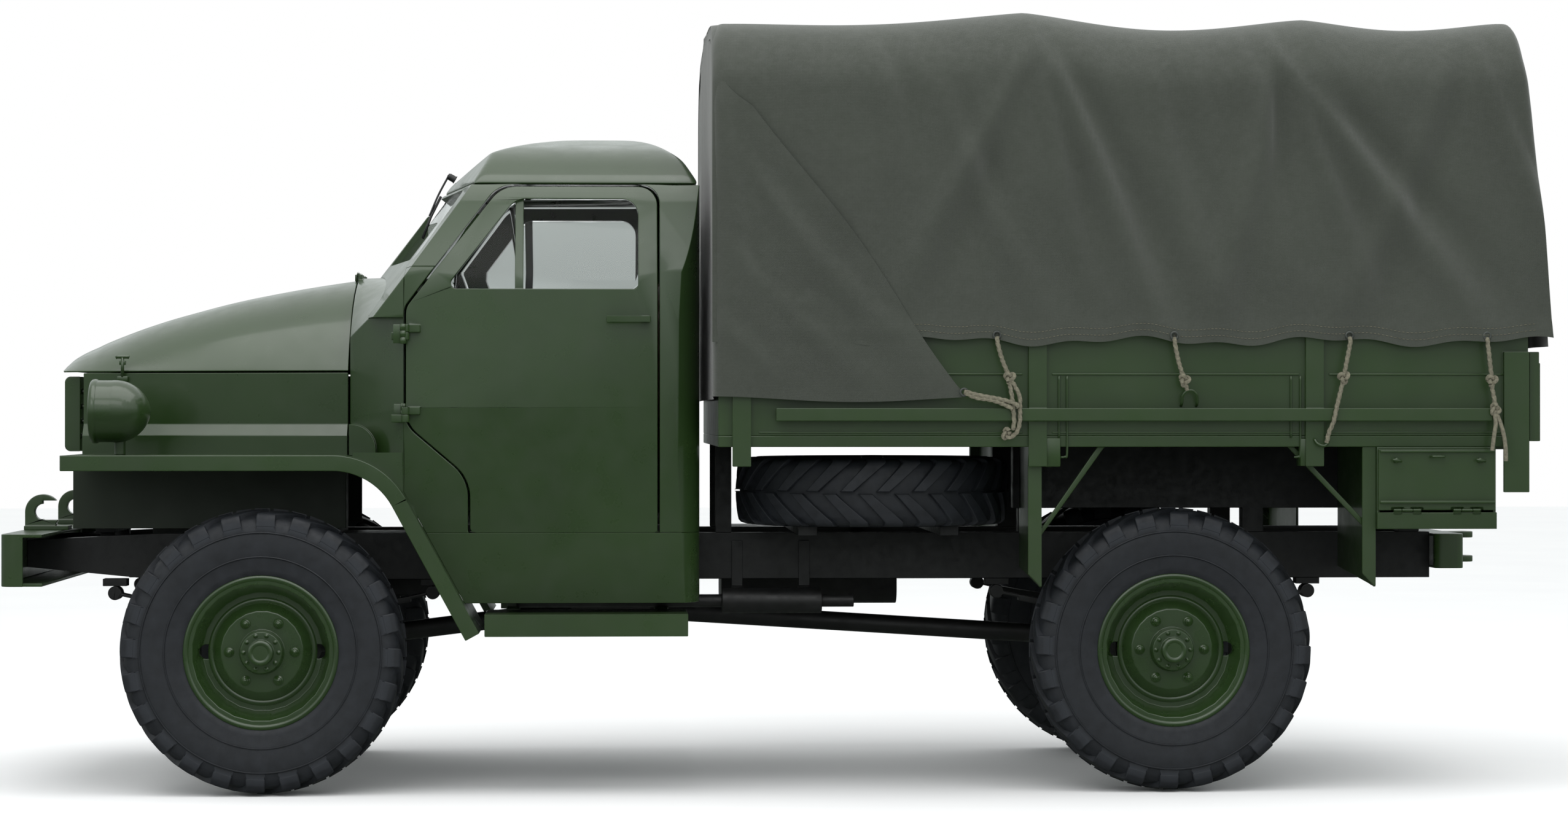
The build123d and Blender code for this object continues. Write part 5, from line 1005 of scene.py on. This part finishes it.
def hood_line(back):
    """Half width and rise of the hood, eased over its neighbourhood."""
    reach = min(HOOD_EASE, back, HOOD_ROWS[-1][0] - back)
    got = [hood_between(back + reach * k / 6) for k in range(-6, 7)]
    return [sum(values) / len(got) for values in zip(*got)]


def make_hood():
    """Hood skin with an even fall to the nose, a rolled rim and the hinge barrels."""
    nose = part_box("hood")[1].x
    rows, cols = 80, 60
    verts = []
    for r in range(-1, rows + 1):
        back = HOOD_ROWS[-1][0] * (max(0, r) / rows) ** 1.5
        half, rise = hood_line(back)
        radius = (half ** 2 + rise ** 2) / (2 * rise)
        reach = asin(half / radius)
        for c in range(cols + 1):
            a = reach * (c / cols * 2 - 1)
            z = HOOD_SEAM_Z + rise - radius * (1 - cos(a))
            verts.append((nose - back, radius * sin(a), HOOD_SEAM_Z if r < 0 else z))
    hood = add_mesh("hood_skin", verts, grid_faces(rows + 2, cols + 1), "hood", "body_green")
    thick = hood.modifiers.new("thickness", "SOLIDIFY")
    thick.thickness = HOOD_THICK
    thick.offset = -1.0
    soften(hood, 0.002)
    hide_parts("hood")
    barrels = Heap()
    rear = nose - HOOD_ROWS[-1][0]
    for y in BARREL_YS:
        place = Matrix.Translation((rear - 0.004, y, HINGE_Z))
        barrels.lathe(BARREL, 18, place @ Matrix.Rotation(pi / 2, 4, "X"))
        barrels.box((rear, y - 0.020, HINGE_Z - 0.026), (rear + 0.010, y + 0.020, HINGE_Z), 0.002)
    barrels.make("hood_hinge_barrels", "hood", "body_green")


# Low and high corner of the cushion and the backrest, and the height between them
SEAT_PADS = (((0.420, -0.700, 1.180), (0.880, 0.700, 1.330)), ((0.337, -0.700, 1.340), (0.457, 0.700, 1.860)))
SEAT_SPLIT_Z = 1.335
SEAT_FLUTES = 9
SEAT_SWELL = 0.016
SEAT_VOXEL = 0.012
SEAT_FRAMES = 20
SEAT_PRESSURE = 4.0


def sewn(place):
    """True where the seat's cover is held: its hidden faces and the lines between the flutes."""
    flat = place.z < SEAT_SPLIT_Z
    low, high = SEAT_PADS[0 if flat else 1]
    hidden = place.z < low[2] + 0.020 if flat else place.x < low[0] + 0.020
    step = (high[1] - low[1]) / SEAT_FLUTES
    line = (place.y - low[1]) / step
    return hidden or abs(line - round(line)) * step < 0.007


def make_seat():
    """Seat cushion and backrest: two covers blown out by pressure and held along their sewn lines."""
    work = bmesh.new()
    for low, high in SEAT_PADS:
        add_cube(work, low, high, 0.028, 4, 0.985)
    mesh = bpy.data.meshes.new("seat_pads")
    work.to_mesh(mesh)
    work.free()
    seat = new_object("seat_pads", mesh)
    remesh(seat, SEAT_VOXEL)
    keep_result(seat)
    rest = [v.co.copy() for v in seat.data.vertices]
    held = seat.vertex_groups.new(name="held")
    held.add([i for i, place in enumerate(rest) if sewn(place)], 1.0, "REPLACE")
    cloth = seat.modifiers.new("fill", "CLOTH").settings
    cloth.quality = 6
    cloth.use_pressure = True
    cloth.uniform_pressure_force = SEAT_PRESSURE
    cloth.vertex_group_mass = "held"
    cloth.effector_weights.gravity = 0.0
    for step in range(1, SEAT_FRAMES + 1):
        bpy.context.scene.frame_set(step)
    keep_result(seat)
    bpy.context.scene.frame_set(1)
    for vertex, start in zip(seat.data.vertices, rest):
        moved = vertex.co - start
        if moved.length > SEAT_SWELL:
            vertex.co = start + moved * (SEAT_SWELL / moved.length)
    seat.data.materials.append(MATERIALS["seat"])
    seat.data.polygons.foreach_set("use_smooth", [True] * len(seat.data.polygons))
    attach(seat, "chassis")
    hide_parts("seat")


def keep_result(obj):
    """Keeps what an object's modifiers make of its mesh, and removes them."""
    bpy.context.view_layer.update()
    made = bpy.data.meshes.new_from_object(obj.evaluated_get(bpy.context.evaluated_depsgraph_get()))
    obj.modifiers.clear()
    obj.data = made


# Trim

# Lamp rim, one part of a door hinge's barrel and a wiper's spindle: radius and height
LAMP_RIM = ((0.1125, -0.012), (0.1165, -0.008), (0.1175, 0.0), (0.1160, 0.008), (0.1110, 0.014),
            (0.1060, 0.015))
SPINDLE = ((0.001, 0.030), (0.010, 0.028), (0.013, 0.020), (0.013, 0.0), (0.016, -0.004))
HINGE_PARTS = ((-0.036, -0.013), (-0.011, 0.011), (0.013, 0.036))
DOOR_HINGE_ZS = (1.378, 1.664)
CATCH_X = 2.423
BUMPER_BOLT_YS = (-0.46, -0.34, 0.34, 0.46)
# Web between the wing's arch and the scuttle, x and z
WEB = ((1.540, 1.236), (1.338, 1.236), (1.338, 1.090), (1.300, 0.985), (1.352, 1.075), (1.405, 1.146),
       (1.470, 1.188), (1.540, 1.204))
WEB_YS = (0.862, 0.866)
# Side boards between the posts, rods with the heights of their lower ends, and stake blocks
BOARDS = ((0.08, -0.866), (-0.972, -1.866), (-1.974, -2.612))
RODS = ((-0.997, 1.290), (-1.026, 1.238), (-1.836, 1.290), (-1.870, 1.238))
STAKE_BLOCKS = ((-1.002, -0.946, 1.186, 1.290), (-1.926, -1.869, 1.188, 1.287))
# Tool box: x of the catches, and its handle as x and distance outwards
CATCH_XS = (-2.214, -2.519)
HANDLE = ((-2.340, 0.0), (-2.341, 0.016), (-2.347, 0.022), (-2.363, 0.023), (-2.379, 0.022), (-2.385, 0.016),
          (-2.386, 0.0))
HANDLE_Z = 1.222


def touch(node, start, aim):
    """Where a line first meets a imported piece."""
    obj = frame["nodes"][node]
    back = obj.matrix_world.inverted()
    found, place, _, _ = obj.ray_cast(back @ Vector(start), back.to_3x3() @ Vector(aim))
    if not found:
        raise ValueError("nothing met on " + node)
    return obj.matrix_world @ place


def side_touch(node, x, z, side, lift=0.0):
    """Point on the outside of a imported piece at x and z, lifted off it."""
    return touch(node, (x, side * 3.0, z), (0, -side, 0)) + Vector((0, side * lift, 0))


def make_front_trim():
    """Lamp rims, hood catches and bumper bolts."""
    rims, catches, keepers, bolts = Heap(), Heap(), Heap(), Heap()
    lens_low, lens_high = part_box("headlamp_lenses")
    centre_z = (lens_low.z + lens_high.z) / 2
    catch_half = hood_line(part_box("hood")[1].x - CATCH_X)[0]
    for side in (1, -1):
        lamp_y = side * (lens_high.y - (lens_high.z - lens_low.z) / 2)
        lamp = Matrix.Translation((lens_low.x, lamp_y, centre_z)) @ Matrix.Rotation(pi / 2, 4, "Y")
        rims.lathe(LAMP_RIM, 64, lamp)
        panel_half = abs(side_touch("hood_sides", CATCH_X, 1.502, side, 0.004).y)
        y = side * (max(catch_half, panel_half) + 0.010)
        catches.add(*tube([(CATCH_X, y, z) for z in (1.512, 1.550, 1.590)], 0.0065, 12))
        bar = [(2.398, y, 1.586), (2.404, y, 1.588), (2.423, y, 1.588), (2.442, y, 1.588), (2.448, y, 1.586)]
        catches.add(*tube(bar, 0.0068, 12))
        catches.box((2.411, -0.016, -0.008), (2.435, 0.004, 0.008), 0.002, Matrix.Translation((0, y, 1.566)))
        keepers.box((2.403, -0.014, -0.010), (2.443, 0.006, 0.010), 0.003, Matrix.Translation((0, y, 1.506)))
    low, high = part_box("front_bumper")
    for y in BUMPER_BOLT_YS:
        spot = touch("front_bumper", (4.0, y, (low.z + high.z) / 2), (-1, 0, 0))
        add_bolt(bolts, facing(spot, (1, 0, 0), y), 0.012)
    rims.make("lamp_rims", "chassis", "body_green")
    catches.make("hood_catches", "hood", "body_green")
    keepers.make("hood_keepers", "chassis", "body_green")
    bolts.make("bumper_bolts", "chassis", "chassis_black", smooth=False)


def make_cab_trim():
    """Webs behind the wings, door hinges and windscreen wipers."""
    webs, hinges, wipers = Heap(), Heap(), Heap()
    count = len(WEB)
    web_faces = [tuple(range(count)), tuple(reversed(range(count, 2 * count)))]
    web_faces += [(k, count + k, count + (k + 1) % count, (k + 1) % count) for k in range(count)]
    barrel = [(0.001, -0.036)]
    for low, high in HINGE_PARTS:
        barrel += [(0.0085, low), (0.0115, low + 0.002), (0.0115, high - 0.002), (0.0085, high)]
    barrel.append((0.001, 0.036))
    out = Vector((0.020, 0, 0.012))
    for side in (1, -1):
        webs.add([(x, side * y, z) for y in WEB_YS for x, z in WEB], web_faces)
        for z in DOOR_HINGE_ZS:
            y = side_touch("cab_cowl", 1.372, z, side).y
            hinges.lathe(barrel, 20, Matrix.Translation((1.356, y + side * 0.008, z)))
            leaf = Matrix.Translation((1.376, y, z)) @ Matrix.Rotation(0.0 if side > 0 else pi, 4, "Z")
            hinges.box((-0.016, -0.003, -0.034), (0.016, 0.007, 0.034), 0.002, leaf)
        y = side * 0.27
        head = Vector((1.20, y, 2.262))
        low = touch("cab_glass", (3.0, y + side * 0.06, 2.03), (-1, 0, 0))
        high = Vector((1.24, y, 2.19))
        wipers.lathe(SPINDLE, 20, facing(head, (0.86, 0, 0.5)))
        middle = (low + high) / 2 + out
        arm = [head + out * 1.1, (head + middle) / 2 + out * 0.7, middle]
        wipers.add(*tube(curve_points(arm, 8), 0.0038, 10))
        wipers.add(*tube([low + out * 0.55, (low + high) / 2 + out * 0.75, high + out * 0.55], 0.0055, 8))
    webs.make("wing_webs", "chassis", "body_green", smooth=False)
    hinges.make("door_hinges", "chassis", "body_green")
    wipers.make("wipers", "chassis", "chassis_black")


def make_bed_trim():
    """Lips of the side boards, rods and stake blocks."""
    for side, label in SIDES:
        boards = Heap()
        flip = Matrix.Diagonal((1, side, 1, 1))
        rod_y = side * (BED_FACE + 0.005)
        for x0, x1 in BOARDS:
            boards.box((x1, BED_FACE - 0.002, 1.5145), (x0, BED_FACE + 0.005, 1.5215), 0.002, flip)
            boards.box((x1, BED_FACE - 0.002, 1.306), (x0, BED_FACE + 0.004, 1.312), 0.0015, flip)
        for x, end in RODS:
            rod = [(x, rod_y, z) for z in (1.512, 1.40, end)]
            if end < 1.26:
                rod.append((x + 0.008, side * (BED_FACE + 0.004), end - 0.016))
                rod.append((x + 0.022, side * BED_FACE, end - 0.018))
            boards.add(*tube(curve_points(rod, 8), 0.004, 10))
        for x0, x1, z0, z1 in STAKE_BLOCKS:
            boards.box((x0, 0.985, z0), (x1, BED_FACE + 0.010, z1), 0.004, flip)
        boards.make("bed_trim_" + label, "chassis", "bed_green")


def make_tool_box_trim():
    """Lips, catches and handle of the tool box's door."""
    low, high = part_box("tool_box_door")
    y = high.y
    trim = Heap()
    for z0, z1 in ((high.z - 0.012, high.z - 0.004), (low.z + 0.030, low.z + 0.040)):
        trim.box((low.x + 0.004, y - 0.002, z0), (high.x - 0.004, y + 0.006, z1), 0.002)
    for x in CATCH_XS:
        trim.prism(0.010, 0.0, 0.006, 20, facing((x, y, 1.208), (0, 1, 0)), 0.009)
        lever = [(x + 0.016, y + 0.010, 1.211), (x + 0.004, y + 0.012, 1.209), (x - 0.018, y + 0.010, 1.206)]
        trim.add(*tube(lever, 0.0055, 10))
    trim.add(*tube(curve_points([(x, y + out, HANDLE_Z) for x, out in HANDLE], 6), 0.0042, 10))
    trim.make("tool_box_trim", "tool_box_door", "bed_green")


# Stage, light and camera

FLOOR_HALF = 40.0


def make_stage():
    corners = ((-1, -1), (1, -1), (1, 1), (-1, 1))
    verts = [(FLOOR_HALF * x, FLOOR_HALF * y, 0) for x, y in corners]
    floor = add_mesh("floor", verts, [(0, 1, 2, 3)], None, material=pale_floor("studio_floor"))
    floor.visible_glossy = False


def area_light(name, place, target, size, power):
    data = bpy.data.lights.new(name, "AREA")
    data.shape = "RECTANGLE"
    data.size, data.size_y = size
    data.energy = power
    light = new_object(name, data)
    light.location = place
    light.rotation_euler = (Vector(target) - Vector(place)).to_track_quat("-Z", "Y").to_euler()


def make_light():
    """Sky light that is white behind the truck, and two soft lamps."""
    world = bpy.data.worlds.new("studio")
    bpy.context.scene.world = world
    sky = Nodes(world, "Background")
    way = sky.new("TexCoord", {})["Generated"]
    height = sky.new("SeparateXYZ", {0: way})["Z"]
    ramp = sky.tree.nodes.new("ShaderNodeValToRGB")
    for place, tone in SKY:
        ramp.color_ramp.elements.new(place).color = (*tone, 1)
    sky.fill(ramp, {"Fac": sky.spread(height, 0.0, 1.0, -1.0, 1.0)})
    seen = sky.new("LightPath", {})["Is Camera Ray"]
    sky.fill(sky.shader, {"Color": sky.mix(seen, ramp.outputs["Color"], WHITE), "Strength": 1.0})
    bpy.context.scene.view_settings.view_transform = "Standard"
    area_light("overhead", (0.0, 2.0, 8.0), (0.0, 0.0, 1.0), (10.0, 7.0), 420.0)
    area_light("near_fill", (1.5, 10.0, 7.5), (0.0, 0.0, 1.2), (10.0, 3.0), 160.0)


def make_camera():
    data = bpy.data.cameras.new("photo_camera")
    data.sensor_width = SENSOR_MM
    data.lens = FOCAL_PX * SENSOR_MM / IMAGE_W
    data.clip_end = 200.0
    camera = new_object("photo_camera", data)
    camera.location = CAMERA_AT
    aim = Vector((-sin(CAMERA_YAW), -cos(CAMERA_YAW), tan(CAMERA_PITCH)))
    camera.rotation_euler = aim.to_track_quat("-Z", "Y").to_euler()
    bpy.context.scene.camera = camera


make_camera()
make_stage()
make_light()
dress_nodes()
make_cover()
make_rear_curtain()
make_front_flap()
make_wheels()
make_hood()
make_seat()
make_lashings()
make_stitches()
make_front_trim()
make_cab_trim()
make_bed_trim()
make_tool_box_trim()
